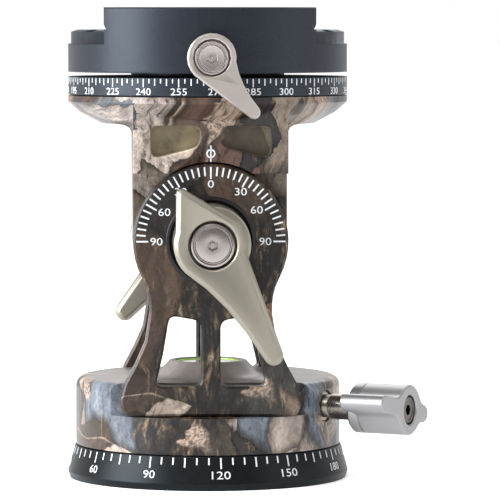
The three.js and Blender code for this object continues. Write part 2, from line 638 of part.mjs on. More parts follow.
// Cross-section of a jaw above the channel floor, in Y and Z. side is -1 for the front, 1 for the rear.
function jawLip(side, bottom) {
  const outer = clamp.radius + overrun;
  const shape = new THREE.Shape();
  shape.moveTo(side * outer, bottom);
  shape.lineTo(side * outer, clampTop);
  shape.lineTo(side * clamp.lipHalfWidth, clampTop);
  shape.lineTo(side * clamp.lipHalfWidth, clampFloor + clamp.lipTop);
  shape.lineTo(side * clamp.grooveHalfWidth, clampFloor + clamp.lipBase);
  shape.lineTo(side * clamp.grooveHalfWidth, bottom);
  shape.closePath();
  return shape;
}

// A jaw block cut to the clamp's round outline, with its ends drawn in above the floor
function jawBlock(side, bottom) {
  const long = clamp.jawHalfLength;
  const short = long - clamp.jawUndercut;
  const lip = panel(jawLip(side, bottom), -long, long).rotate([0, 0, 90]).scale([-1, 1, 1]);
  const ends = new THREE.Shape();
  ends.moveTo(-short, bottom);
  ends.lineTo(short, bottom);
  ends.lineTo(short, clampFloor);
  ends.lineTo(long, clampFloor + clamp.undercutHeight);
  ends.lineTo(long, clampTop);
  ends.lineTo(-long, clampTop);
  ends.lineTo(-long, clampFloor + clamp.undercutHeight);
  ends.lineTo(-short, clampFloor);
  ends.closePath();
  const outline = turned([
    [0, clampBottom], [clamp.radius, clampBottom], [clamp.radius, clampTop - clamp.edge],
    [clamp.radius - clamp.edge, clampTop], [0, clampTop],
  ], turns.large);
  return lip.intersect(panel(ends, -outerReach(), outerReach())).intersect(outline);
}

function outerReach() {
  return clamp.radius + overrun;
}

// Clamp body with the fixed front jaw, and the sliding rear jaw with its pins and springs
function makeClamp() {
  const springRadius = guidePin.radius + seatGap + 2 * spring.wireRadius;
  const disc = turned([
    [0, clampBottom], [clamp.radius, clampBottom], [clamp.radius, clampBottom + clamp.stepHeight],
    [clamp.wingRadius, clampBottom + clamp.stepHeight], [clamp.wingRadius, clampBottom + clamp.wingHeight],
    [clamp.wingTopRadius, clampFloor], [0, clampFloor],
  ], turns.large);
  const frontWall = block(-clamp.jawHalfLength, clamp.jawHalfLength, -outerReach(),
    -clamp.lipHalfWidth - clamp.lipBase, clampBottom, clampFloor)
    .intersect(bar(clamp.radius, clampBottom, clampFloor, turns.large));
  const sillTop = clampBottom + clamp.sill;
  const reliefTop = clampFloor + clamp.lipBase / 2;
  let body = disc.add(frontWall).add(jawBlock(-1, clampFloor - seatGap));
  body = body
    .subtract(block(-outerReach(), outerReach(), -clamp.grooveHalfWidth, -clamp.seatHalfWidth, reliefFloor, reliefTop))
    .subtract(block(-outerReach(), outerReach(), clamp.seatHalfWidth, clamp.splitY + seatGap, reliefFloor, reliefTop))
    .subtract(block(-clamp.jawHalfLength - seatGap, clamp.jawHalfLength + seatGap, clamp.splitY, outerReach(),
      sillTop, clampTop))
    .subtract(bar(spindle.flangeRadius + seatGap, 0, clampBottom + spindle.flangeInset + seatGap, turns.medium))
    .subtract(alongY(bar(drawBolt.shankRadius + seatGap, -outerReach(), outerReach(), turns.small), 0, drawHeight, 1));
  ringPlaces(spindleScrew.count, spindleScrew.circleRadius, 0).forEach(([x, y]) => {
    const hole = bar(spindleScrew.shankRadius + seatGap, 0,
      clampBottom + spindle.flangeInset + spindleScrew.bite + seatGap, turns.tiny);
    body = body.subtract(hole.translate([x, y, 0]));
  });

  let jaw = jawBlock(1, reliefFloor + seatGap);
  const apron = block(-clamp.jawHalfLength + clamp.jawUndercut, clamp.jawHalfLength - clamp.jawUndercut,
    clamp.splitY + seatGap, outerReach(), sillTop + seatGap, clampFloor + 2 * seatGap)
    .intersect(bar(clamp.radius, clampBottom, clampTop, turns.large));
  jaw = jaw.add(apron)
    .subtract(alongY(bar(drawBolt.shankRadius + seatGap, 0, clamp.splitY + drawBolt.bite + seatGap, turns.small),
      0, drawHeight, 1));
  const springSeat = clamp.splitY - spring.length - seatGap;
  for (const [hand, x] of [['left', -guidePin.offset], ['right', guidePin.offset]]) {
    const pinStart = clamp.splitY - guidePin.inBody;
    const pinEnd = clamp.splitY + guidePin.inJaw;
    const pinHole = bar(guidePin.radius + seatGap, pinStart - seatGap, pinEnd + seatGap, turns.small);
    const springHole = bar(springRadius + seatGap, springSeat, clamp.splitY + overrun, turns.small);
    body = body.subtract(alongY(pinHole, x, pinHeight, 1))
      .subtract(alongY(springHole, x, pinHeight, 1));
    jaw = jaw.subtract(alongY(pinHole, x, pinHeight, 1));
    addPiece(`guide_pin_${hand}`, alongY(bar(guidePin.radius, pinStart, pinEnd, turns.small), x, pinHeight, 1), steel);
    addPiece(`jaw_spring_${hand}`,
      alongY(springCoil(springRadius, springSeat + seatGap), x, pinHeight, 1), steel);
  }
  addPiece('clamp_body', body, blackAnodised);
  addPiece('sliding_jaw', jaw, blackAnodised);
}

// A compression spring along Z, one unbroken wire
function springCoil(outerRadius, bottom) {
  const meanRadius = outerRadius - spring.wireRadius;
  const rise = spring.length - 2 * seatGap - 2 * spring.wireRadius;
  const steps = spring.loops * spring.stepsPerLoop;
  const points = Array.from({ length: steps + 1 }, (_, i) => {
    const angle = 2 * Math.PI * i / spring.stepsPerLoop;
    return new THREE.Vector3(meanRadius * Math.cos(angle), meanRadius * Math.sin(angle),
      bottom + seatGap + spring.wireRadius + rise * i / steps);
  });
  const section = new THREE.Shape();
  for (let k = 0; k < spring.wireSides; k += 1) {
    const angle = 2 * Math.PI * k / spring.wireSides;
    const place = [spring.wireRadius * Math.cos(angle), spring.wireRadius * Math.sin(angle)];
    if (k === 0) section.moveTo(...place);
    else section.lineTo(...place);
  }
  section.closePath();
  const geometry = new THREE.ExtrudeGeometry(section, {
    steps, bevelEnabled: false, extrudePath: new THREE.CatmullRomCurve3(points),
  });
  return solidOf(geometry);
}

// Small lever of the clamp with its washer and the long screw that draws the rear jaw in
function makeClampLever() {
  const back = clamp.radius + clampLever.standoff;
  const front = back + clampLever.thickness;
  const hub = arcPoints(0, 0, clampLever.hubRadius, -Math.PI / 18, Math.PI + Math.PI / 4, turns.small);
  const lean = Math.atan2(clampLever.tailX, clampLever.tailDrop);
  const tail = arcPoints(clampLever.tailX, -clampLever.tailDrop, clampLever.tailRadius,
    -Math.PI + lean, lean, turns.tiny / 2);
  const shape = new THREE.Shape();
  shape.moveTo(...tail[0]);
  tail.slice(1).forEach((point) => shape.lineTo(...point));
  shape.quadraticCurveTo(clampLever.hubRadius + clampLever.tailRadius / 2, -clampLever.tailDrop / 2, ...hub[0]);
  hub.slice(1).forEach((point) => shape.lineTo(...point));
  shape.lineTo(...tail[0]);
  const seat = front - clampLever.recessDepth;
  const washerFront = seat + seatGap + clampLever.washerThickness;
  const recess = bar(clampLever.recessRadius, seat, front + overrun, turns.small);
  const bore = bar(drawBolt.shankRadius + seatGap, 0, front + overrun, turns.small);
  const body = panel(shape, -front, -back, clampLever.bevel)
    .subtract(alongY(recess, 0, 0, -1))
    .subtract(alongY(bore, 0, 0, -1));
  addPiece('clamp_lever', body.translate([0, 0, drawHeight]), satinSilver);
  addPiece('clamp_lever_washer', alongY(sleeve(drawBolt.shankRadius + seatGap, clampLever.washerRadius,
    seat + seatGap, washerFront, turns.small), 0, drawHeight, -1), steel);
  const screw = capScrew(drawBolt, washerFront + seatGap, -clamp.splitY - drawBolt.bite);
  addPiece('draw_screw', alongY(screw, 0, drawHeight, -1), steel);
}

// Places a solid built along Z so that it lies along the pan lock's axis
function alongLock(solid) {
  return solid.rotate([0, 90, 0]).rotate([0, 0, THREE.MathUtils.radToDeg(panLock.turn)])
    .translate([0, 0, panLock.height]);
}

// Cross-section of the winged knob, long wing towards -X of the section
function knobSection() {
  const long = knob.longWing - knob.wingHalf;
  const short = knob.shortWing - knob.wingHalf;
  const h = knob.wingHalf;
  const rise = Math.acos(h / knob.radius) - Math.atan2(knob.blend, knob.radius);
  const top = arcPoints(0, 0, knob.radius, rise, Math.PI - rise, turns.tiny);
  const bottom = arcPoints(0, 0, knob.radius, Math.PI + rise, 2 * Math.PI - rise, turns.tiny);
  const shape = new THREE.Shape();
  const rightTip = arcPoints(short, 0, h, -Math.PI / 2, Math.PI / 2, cornerSteps);
  const leftTip = arcPoints(-long, 0, h, Math.PI / 2, 3 * Math.PI / 2, cornerSteps);
  shape.moveTo(...rightTip[0]);
  rightTip.slice(1).forEach((point) => shape.lineTo(...point));
  shape.quadraticCurveTo(knob.radius, h, ...top[0]);
  top.slice(1).forEach((point) => shape.lineTo(...point));
  shape.quadraticCurveTo(-knob.radius, h, -long, h);
  leftTip.slice(1).forEach((point) => shape.lineTo(...point));
  shape.quadraticCurveTo(-knob.radius, -h, ...bottom[0]);
  bottom.slice(1).forEach((point) => shape.lineTo(...point));
  shape.quadraticCurveTo(knob.radius, -h, ...rightTip[0]);
  return shape;
}

function makePanLock() {
  const drumSide = foot.drumRadius + seatGap;
  const padEnd = drumSide + panLock.padLength;
  const collarStart = housing.radius + seatGap / 2;
  const collarEnd = collarStart + panLock.collarLength;
  const bushStart = housing.radius - panLock.bushLength;
  const bore = panLock.screwRadius + seatGap;
  const stemStart = collarEnd + seatGap;
  const stemEnd = stemStart + panLock.stemLength;
  const knobEnd = knob.start + knob.length;
  const round = panLock.collarLength / 4;
  addPiece('pan_lock_pad', alongLock(bar(panLock.padRadius, drumSide, padEnd, turns.tiny)), brass);
  addPiece('pan_lock_bush', alongLock(turned([
    [bore, bushStart], [panLock.bushRadius, bushStart], [panLock.bushRadius, housing.radius - 2 * seatGap],
    [panLock.collarRadius, housing.radius - 2 * seatGap], [panLock.collarRadius, collarEnd - round],
    [panLock.collarRadius - round, collarEnd], [bore, collarEnd],
  ], turns.small)), satinSilver);
  const stem = turned([
    [0, padEnd + seatGap], [panLock.screwRadius, padEnd + seatGap], [panLock.screwRadius, stemStart],
    [panLock.stemRadius, stemStart], [panLock.stemRadius, stemEnd],
    [panLock.screwRadius, stemEnd], [panLock.screwRadius, knobEnd - knob.recessDepth - 2 * seatGap],
    [0, knobEnd - knob.recessDepth - 2 * seatGap],
  ], turns.small);
  const tap = bar(knobScrew.shankRadius + seatGap, knobEnd - knob.recessDepth - knobScrew.bite - seatGap,
    knobEnd, turns.tiny);
  addPiece('pan_lock_stem', alongLock(stem.subtract(tap)), steel);

  const section = new THREE.ExtrudeGeometry(knobSection(), { depth: knob.wingLength, bevelEnabled: false });
  section.translate(0, 0, knobEnd - knob.wingLength);
  const wings = solidOf(section).rotate([0, 0, 90 - THREE.MathUtils.radToDeg(knob.tilt)]);
  const barrel = turned([
    [0, knob.start], [knob.radius - knob.chamfer, knob.start], [knob.radius, knob.start + knob.chamfer],
    [knob.radius, knobEnd], [0, knobEnd],
  ], turns.medium);
  const body = wings.add(barrel)
    .subtract(bar(knob.recessRadius, knobEnd - knob.recessDepth, knobEnd + overrun, turns.small))
    .subtract(bar(bore, 0, knobEnd, turns.small))
    .subtract(bar(panLock.stemRadius + seatGap, 0, stemEnd + seatGap, turns.small));
  addPiece('pan_lock_knob', alongLock(body), satinSilver);
  const screw = capScrew(knobScrew, knobEnd - knob.recessDepth + seatGap,
    knobEnd - knob.recessDepth - knobScrew.bite);
  addPiece('pan_lock_screw', alongLock(screw), steel);
}

makeFoot();
makeHousing();
makeLevel();
makePlates();
makeTiltAxle();
makeLevers();
makeUpperBody();
makeScaleRing();
makeSpindle();
makeClamp();
makeClampLever();
makePanLock();

export default head;
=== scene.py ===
"""Dresses the two-way monopod head: finishes, printed scales, level vial and studio."""
import logging
import math
from collections.abc import Callable, Iterable, Sequence
from dataclasses import dataclass, field
from enum import Enum

import bmesh
import bpy
from mathutils import Matrix, Vector


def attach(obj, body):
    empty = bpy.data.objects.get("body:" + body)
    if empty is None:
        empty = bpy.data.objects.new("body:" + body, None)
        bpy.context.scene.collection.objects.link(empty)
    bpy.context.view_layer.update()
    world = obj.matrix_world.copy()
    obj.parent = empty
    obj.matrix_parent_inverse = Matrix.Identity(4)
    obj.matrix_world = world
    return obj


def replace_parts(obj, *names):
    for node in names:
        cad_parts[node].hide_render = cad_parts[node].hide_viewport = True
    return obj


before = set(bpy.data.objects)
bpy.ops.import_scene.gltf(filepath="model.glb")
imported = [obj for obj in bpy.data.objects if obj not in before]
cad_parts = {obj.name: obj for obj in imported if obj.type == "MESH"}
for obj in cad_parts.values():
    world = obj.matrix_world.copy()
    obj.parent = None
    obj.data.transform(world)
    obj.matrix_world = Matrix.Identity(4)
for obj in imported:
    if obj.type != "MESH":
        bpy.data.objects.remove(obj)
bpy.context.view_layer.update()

MM = 0.001
TAU = 2 * math.pi
LOG = logging.getLogger("monopod_head")

Colour = tuple[float, float, float]


# Node graphs


class Signal:
    """One socket of a node graph, which takes part in arithmetic."""

    def __init__(self, graph: "Graph", socket: bpy.types.NodeSocket) -> None:
        """Keeps the socket and the graph it belongs to."""
        self.graph = graph
        self.socket = socket

    def _with(self, operation: str, *others: "Signal | float") -> "Signal":
        """Returns operation applied to this signal and others."""
        return self.graph.maths(operation, self, *others)

    def __add__(self, other: "Signal | float") -> "Signal":
        """Returns the sum."""
        return self._with("ADD", other)

    def __mul__(self, other: "Signal | float") -> "Signal":
        """Returns the product."""
        return self._with("MULTIPLY", other)

    def __sub__(self, other: "Signal | float") -> "Signal":
        """Returns the difference."""
        return self._with("SUBTRACT", other)

    def __rsub__(self, other: float) -> "Signal":
        """Returns other minus this signal."""
        return self.graph.maths("SUBTRACT", other, self)

    def __truediv__(self, other: "Signal | float") -> "Signal":
        """Returns the quotient."""
        return self._with("DIVIDE", other)

    def absolute(self) -> "Signal":
        """Returns the distance from zero."""
        return self._with("ABSOLUTE")

    def sine(self) -> "Signal":
        """Returns the sine."""
        return self._with("SINE")

    def cosine(self) -> "Signal":
        """Returns the cosine."""
        return self._with("COSINE")

    def at_least(self, other: "Signal | float") -> "Signal":
        """Returns the larger of two signals."""
        return self._with("MAXIMUM", other)

    def every(self, count: "Signal | float") -> "Signal":
        """Returns 1 where this whole number is a multiple of count, else 0."""
        return self.graph.maths("COMPARE", self._with("MODULO", count), 0.0, 0.5)

    def step(self, low: float, high: float) -> "Signal":
        """Returns a smooth step.

        Args:
            low: where the step is still 0.
            high: where it reaches 1. It may be smaller than low.

        Returns:
            The step, from 0 to 1.
        """
        node = self.graph.add(
            "ShaderNodeMapRange",
            {"Value": self, "From Min": low, "From Max": high},
            interpolation_type="SMOOTHSTEP",
        )
        return Signal(self.graph, node.outputs["Result"])


class Graph:
    """A node tree of a material or a geometry modifier, built by calls."""

    def __init__(self, tree: bpy.types.NodeTree) -> None:
        """Keeps the tree that nodes are added to."""
        self.tree = tree

    def add(self, kind: str, inputs: dict | None = None, **settings: object) -> bpy.types.Node:
        """Adds a node.

        Args:
            kind: the node's type name.
            inputs: a value, signal or colour for each input, by name or number.
            **settings: the node's own properties.

        Returns:
            The new node.
        """
        node = self.tree.nodes.new(kind)
        for name, value in settings.items():
            setattr(node, name, value)
        for key, value in (inputs or {}).items():
            self.feed(node.inputs[key], value)
        return node

    def feed(self, socket: bpy.types.NodeSocket, value: object) -> None:
        """Links value to socket if it is a signal, or sets it as a constant.

        Args:
            socket: the node's input.
            value: a signal, another node's output, a colour or a number.
        """
        if isinstance(value, Signal):
            self.tree.links.new(value.socket, socket)
        elif isinstance(value, bpy.types.NodeSocket):
            self.tree.links.new(value, socket)
        elif isinstance(value, tuple) and len(value) == 3 and socket.type == "RGBA":
            socket.default_value = (*value, 1.0)
        else:
            socket.default_value = value

    def maths(self, operation: str, *values: Signal | float) -> Signal:
        """Returns a signal that is operation applied to values."""
        node = self.add("ShaderNodeMath", dict(enumerate(values)), operation=operation)
        return Signal(self, node.outputs[0])

    def vector(self, x: Signal | float, y: Signal | float, z: Signal | float) -> Signal:
        """Returns the vector of three signals."""
        node = self.add("ShaderNodeCombineXYZ", {"X": x, "Y": y, "Z": z})
        return Signal(self, node.outputs[0])

    def parts(self, vector: Signal) -> tuple[Signal, Signal, Signal]:
        """Returns the three parts of a vector or colour."""
        node = self.add("ShaderNodeSeparateXYZ", {0: vector})
        return tuple(Signal(self, out) for out in node.outputs)

    def noise(self, place: Signal, scale: float, detail: float = 3.0, roughness: float = 0.55) -> Signal:
        """Returns a noise value around 0.5.

        Args:
            place: the point, in the units that scale divides.
            scale: how many blotches there are to a unit.
            detail: how many octaves are added.
            roughness: how strong the small octaves are.

        Returns:
            The noise.
        """
        node = self.add(
            "ShaderNodeTexNoise",
            {"Vector": place, "Scale": scale, "Detail": detail, "Roughness": roughness},
        )
        return Signal(self, node.outputs[0])

    def streaks(
        self, across: Signal, upward: Signal, seed: Signal | float, detail: float = 3.0,
        roughness: float = 0.55,
    ) -> Signal:
        """Returns a noise value around 0.5 over a flat place.

        Args:
            across: place along the pattern, times the blotches to a unit.
            upward: place up the pattern, times the blotches to a unit.
            seed: which pattern of the many it is.
            detail: how many octaves are added.
            roughness: how strong the small octaves are.

        Returns:
            The noise.
        """
        return self.noise(self.vector(across, upward, seed), 1.0, detail, roughness)

    def ramp(self, value: Signal, stops: Sequence[tuple[float, Colour]], smooth: bool = True) -> Signal:
        """Returns a colour looked up from stops.

        Args:
            value: where to look, from 0 to 1.
            stops: each place and its colour, in order.
            smooth: whether neighbours blend.

        Returns:
            The colour.
        """
        node = self.add("ShaderNodeValToRGB", {"Fac": value})
        node.color_ramp.interpolation = "EASE" if smooth else "CONSTANT"
        elements = node.color_ramp.elements
        while len(elements) < len(stops):
            elements.new(1.0)
        for element, (place, colour) in zip(elements, stops):
            element.position = place
            element.color = (*colour, 1.0)
        return Signal(self, node.outputs[0])

    def blend(self, share: Signal | float, first: object, second: object, mode: str = "MIX") -> Signal:
        """Returns two colours mixed.

        Args:
            share: how much of the second shows, from 0 to 1.
            first: the colour below.
            second: the colour above.
            mode: Blender's name of the blend.

        Returns:
            The mixed colour.
        """
        node = self.add("ShaderNodeMix", data_type="RGBA", blend_type=mode)
        self.feed(node.inputs[0], share)
        self.feed(node.inputs[6], first)
        self.feed(node.inputs[7], second)
        return Signal(self, node.outputs[2])

    def dim(self, colour: object, tone: Signal) -> Signal:
        """Returns a colour times a tone."""
        return self.blend(1.0, colour, self.vector(tone, tone, tone), "MULTIPLY")

    def reach(self, x: Signal, y: Signal) -> Signal:
        """Returns how far a point of a plane is from its origin."""
        return self.maths("SQRT", x * x + y * y)

    def cells(self, across: Signal, upward: Signal, size: float, feature: str = "F1") -> bpy.types.Node:
        """Returns the node of a flat pattern of irregular cells.

        Args:
            across: place along the pattern.
            upward: place up the pattern.
            size: how large a cell is.
            feature: Blender's name of what the pattern measures.

        Returns:
            The node.
        """
        return self.add(
            "ShaderNodeTexVoronoi",
            {"Vector": self.vector(across, upward, 0.0), "Scale": 1 / size},
            voronoi_dimensions="2D",
            feature=feature,
        )


class Surface(Graph):
    """A material's graph, with its shader and the object's place in millimetres."""

    def __init__(self, name: str) -> None:
        """Makes an empty material with one shader.

        Args:
            name: the material's name.
        """
        self.material = bpy.data.materials.new(name)
        self.material.use_nodes = True
        super().__init__(self.material.node_tree)
        self.tree.nodes.clear()
        self.shader = self.add("ShaderNodeBsdfPrincipled")
        output = self.add("ShaderNodeOutputMaterial")
        self.tree.links.new(self.shader.outputs[0], output.inputs["Surface"])

    def place(self) -> Signal:
        """Reads the object coordinates.

        Returns:
            The coordinates, in millimetres.
        """
        node = self.add("ShaderNodeTexCoord")
        scaled = self.add("ShaderNodeVectorMath", {0: node.outputs["Object"]}, operation="SCALE")
        scaled.inputs["Scale"].default_value = 1 / MM
        return Signal(self, scaled.outputs[0])

    def set(self, **values: object) -> None:
        """Sets shader inputs, named with underscores for spaces."""
        for name, value in values.items():
            self.feed(self.shader.inputs[name.replace("_", " ").title().replace("Ior", "IOR")], value)

    def bump(self, height: Signal, depth: float, edge: float = 0.0) -> None:
        """Raises the surface.

        Args:
            height: the relief, from 0 to 1.
            depth: how many millimetres a height of 1 stands up.
            edge: radius in millimetres to which sharp edges look rounded.
        """
        node = self.add("ShaderNodeBump", {"Height": height, "Distance": depth * MM, "Strength": 1.0})
        if edge:
            rounded = self.add("ShaderNodeBevel", {"Radius": edge * MM}, samples=6)
            self.tree.links.new(rounded.outputs[0], node.inputs["Normal"])
        self.tree.links.new(node.outputs[0], self.shader.inputs["Normal"])


# Finishes


@dataclass(frozen=True)
class MetalFinish:
    """A metal, or a hard coat on one, with a fine blasted grain and faint clouds."""

    name: str
    colour: Colour
    metallic: float
    roughness: float
    grain: float = 0.25
    depth: float = 0.004
    mottle: float = 0.06
    edge: float = 0.15
    polish: float = 0.04
    shine: float = 0.5
    tint: Colour = (1.0, 1.0, 1.0)
    sparkle: float = 0.0

    def build(self) -> bpy.types.Material:
        """Makes the metal from a cloud and a blasted grain.

        Returns:
            The material.
        """
        surface = Surface(self.name)
        place = surface.place()
        blasted = surface.noise(place, 1 / self.grain, 2.0, 0.7)
        cloud = surface.noise(place, 0.09, 3.0)
        tone = (cloud - 0.5) * (2 * self.mottle) + (blasted - 0.5) * self.sparkle + 1.0
        shade = surface.dim(self.colour, tone)
        surface.set(base_color=shade, metallic=self.metallic, specular_ior_level=self.shine)
        surface.set(specular_tint=self.tint)
        wear = (cloud - 0.5) * (4 * self.polish) + (blasted - 0.5) * self.polish
        surface.set(roughness=wear + self.roughness)
        surface.bump(blasted, self.depth, self.edge)
        return surface.material


@dataclass(frozen=True)
class TurnedFinish:
    """A metal turned on a lathe, with fine rings about an axis."""

    name: str
    colour: Colour
    roughness: float
    centre: tuple[float, float, float]
    axis: tuple[float, float, float]
    pitch: float = 0.22
    depth: float = 0.0035

    def build(self) -> bpy.types.Material:
        """Makes the metal with turning marks round its axis.

        Returns:
            The material.
        """
        surface = Surface(self.name)
        place = surface.place()
        away = surface.add("ShaderNodeVectorMath", {0: place, 1: self.centre}, operation="SUBTRACT")
        along = surface.add(
            "ShaderNodeVectorMath", {0: away.outputs[0], 1: self.axis}, operation="DOT_PRODUCT"
        )
        length = surface.add("ShaderNodeVectorMath", {0: away.outputs[0]}, operation="LENGTH")
        rise = Signal(surface, along.outputs["Value"])
        reach = Signal(surface, length.outputs["Value"])
        radius = surface.maths("SQRT", (reach * reach - rise * rise).at_least(0.0))
        wander = surface.noise(place, 0.8, 2.0)
        rings = surface.noise(surface.vector(rise / self.pitch, radius / self.pitch, wander * 0.2), 1.0, 2.0)
        tone = (rings - 0.5) * 0.16 + 1.0
        shade = surface.dim(self.colour, tone)
        surface.set(base_color=shade, metallic=1.0, roughness=(rings - 0.5) * 0.12 + self.roughness)
        surface.bump(rings, self.depth, 0.12)
        return surface.material


class Wrap(Enum):
    """How the camouflage print is laid on a piece."""

    FLAT = "flat"
    ROUND = "round"


@dataclass(frozen=True)
class PatchLayer:
    """One layer of torn, tall patches in the print."""

    cell: float
    stretch: float
    seed: float
    cover: float


@dataclass(frozen=True)
class LeafLayer:
    """One scatter of leaves in the print."""

    cell: float
    length: float
    width: float
    seed: float
    lobes: float
    cover: float


@dataclass(frozen=True)
class CamoPrint:
    """A generic woodland print: furrowed bark, torn patches, dry leaves and twigs under a clear coat.

    The film is laid straight on, slanted so that no side of a piece gets streaks, or round the Z axis.
    Lengths are in millimetres.
    """

    name: str
    wrap: Wrap
    pocket_floors: bool = False
    # whether a painted reflection of the white surroundings is laid on the housing's roof and boss
    pale_boss: bool = False
    roughness: float = 0.36
    gain: float = 1.0
    film_radius: float = 36.1
    film_inward: float = 0.9
    film_slant: tuple[float, float] = (0.55, 0.8)
    film_rise: float = 12.4
    sway: float = 8.0
    raggedness: float = 4.5
    crack_colour: Colour = (0.012, 0.009, 0.008)
    gold_colour: Colour = (0.27, 0.18, 0.095)
    rib_colour: Colour = (0.50, 0.40, 0.30)
    leaf_shadow: Colour = (0.012, 0.008, 0.006)
    twig_colour: Colour = (0.40, 0.30, 0.235)
    twig_shadow: Colour = (0.016, 0.011, 0.009)
    pocket_colour: Colour = (0.33, 0.27, 0.17)
    # colour of the painted reflection of the white surroundings on the roof and boss
    roof_colour: Colour = (0.20, 0.176, 0.162)
    bark_stops: tuple = (
        (0.0, (0.006, 0.005, 0.005)),
        (0.34, (0.014, 0.010, 0.009)),
        (0.50, (0.034, 0.024, 0.017)),
        (0.64, (0.092, 0.064, 0.040)),
        (0.8, (0.20, 0.145, 0.095)),
        (1.0, (0.38, 0.30, 0.23)),
    )
    patch_stops: tuple = (
        (0.0, (0.016, 0.014, 0.015)),
        (0.12, (0.30, 0.23, 0.18)),
        (0.26, (0.048, 0.037, 0.026)),
        (0.37, (0.135, 0.155, 0.185)),
        (0.50, (0.018, 0.015, 0.015)),
        (0.60, (0.088, 0.050, 0.036)),
        (0.70, (0.18, 0.14, 0.107)),
        (0.80, (0.036, 0.028, 0.021)),
        (0.88, (0.36, 0.30, 0.26)),
    )
    leaf_stops: tuple = (
        (0.0, (0.22, 0.11, 0.05)),
        (0.16, (0.36, 0.275, 0.20)),
        (0.34, (0.10, 0.095, 0.058)),
        (0.50, (0.46, 0.37, 0.30)),
        (0.62, (0.13, 0.065, 0.035)),
        (0.76, (0.21, 0.185, 0.14)),
        (0.88, (0.055, 0.036, 0.025)),
    )
    patches: tuple = (
        PatchLayer(17.0, 2.3, 1.37, 0.8),
        PatchLayer(9.0, 1.7, 5.91, 0.3),
    )
    leaves: tuple = (
        LeafLayer(27.0, 33.0, 11.5, 3.7, 9.0, 0.3),
        LeafLayer(14.0, 16.0, 5.6, 9.1, 7.0, 0.2),
    )

    def build(self) -> bpy.types.Material:
        """Makes the print, from the bark up to the twigs and strokes.

        Returns:
            The material.
        """
        surface = Surface(self.name)
        place = surface.place()
        across, upward = self._sheet(surface, place)
        warp = surface.noise(surface.vector(across, upward, 0.0), 0.055, 2.0)
        sway = surface.noise(surface.vector(across, upward, 40.0), 0.05, 2.0)
        across = across + (warp - 0.5) * self.sway
        upward = upward + (sway - 0.5) * self.sway
        colour, furrow = self._bark(surface, across, upward)
        torn = surface.streaks(across * 0.45, upward * 0.22, 3.0, 3.0, 0.6)
        ragged = across + (torn - 0.5) * self.raggedness
        for layer in self.patches:
            colour = self._torn(surface, colour, ragged, upward, layer)
        for layer in self.leaves:
            colour = self._leaves(surface, colour, across, upward, layer)
        colour = self._twigs(surface, colour, across, upward)
        colour = self._strokes(surface, colour, across, upward)
        speck = surface.noise(place, 0.95, 5.0, 0.8)
        grain = (speck - 0.5) * 1.5 + self.gain
        colour = surface.dim(colour, grain)
        if self.pocket_floors:
            colour = self._floors(surface, place, colour, speck)
        # painted reflection: a pale patch standing in for the white surroundings mirrored on the roof and
        # boss
        if self.pale_boss:
            colour = self._boss(surface, place, colour, speck)
        surface.set(base_color=colour, roughness=(furrow - 0.5) * 0.1 + self.roughness)
        surface.set(coat_weight=0.12, coat_roughness=0.2, specular_ior_level=0.3)
        surface.bump(speck, 0.006, 0.25)
        return surface.material

    def _sheet(self, surface: Surface, place: Signal) -> tuple[Signal, Signal]:
        """Finds where on the printed film a point lies.

        Args:
            surface: the material's nodes.
            place: the object coordinates, in millimetres.

        Returns:
            The places along the film and up it, in millimetres.
        """
        x, y, z = surface.parts(place)
        if self.wrap is Wrap.ROUND:
            inward = (self.film_radius - surface.reach(x, y)) * self.film_inward
            return surface.maths("ARCTAN2", x, 0.0 - y) * self.film_radius, z + inward
        return x + y * self.film_slant[0], z + y * self.film_slant[1] + self.film_rise

    def _bark(self, surface: Surface, across: Signal, upward: Signal) -> tuple[Signal, Signal]:
        """Draws the dark bark.

        Args:
            surface: the material's nodes.
            across: place along the film, in millimetres.
            upward: place up the film, in millimetres.

        Returns:
            The bark's colour, and how deep its furrows look.
        """
        ridges = surface.streaks(across * 0.5, upward * 0.15, 1.0, 6.0, 0.74)
        lumps = surface.streaks(across * 0.13, upward * 0.06, 5.0, 3.0)
        depth = ridges * 1.3 + lumps * 0.6 - 0.45
        tone = surface.ramp((depth - 0.5) * 2.1 + 0.42, self.bark_stops)
        bend = surface.streaks(across * 0.4, upward * 0.2, 21.0, 3.0) * 3.4
        plates = surface.cells(across + bend, (upward + bend) * 0.3, 3.1, "DISTANCE_TO_EDGE")
        crack = Signal(surface, plates.outputs["Distance"]).step(0.02, 0.2) * 0.72 + 0.28
        return surface.dim(tone, crack), depth

    def _strokes(self, surface: Surface, below: Signal, across: Signal, upward: Signal) -> Signal:
        """Draws short dark cracks and golden flecks of bark over most of the print.

        Args:
            surface: the material's nodes.
            below: the colour so far.
            across: place along the film, in millimetres.
            upward: place up the film, in millimetres.

        Returns:
            The colour with the strokes over it.
        """
        zone = surface.streaks(across * 0.11, upward * 0.07, 33.0, 2.0)
        crack = surface.streaks(across * 1.15, upward * 0.28, 45.0, 5.0, 0.72)
        dark = crack.step(0.46, 0.36) * (zone.step(0.62, 0.42) * 0.75 + 0.1)
        cracked = surface.blend(dark, below, self.crack_colour)
        fleck = surface.streaks(across * 0.8, upward * 0.2, 12.0, 6.0, 0.8)
        cluster = surface.streaks(across * 0.3, upward * 0.11, 52.0, 2.0)
        gold = fleck.step(0.5, 0.68) * cluster.step(0.47, 0.62) * (zone.step(0.40, 0.56) * 0.8 + 0.15)
        return surface.blend(gold, cracked, self.gold_colour)

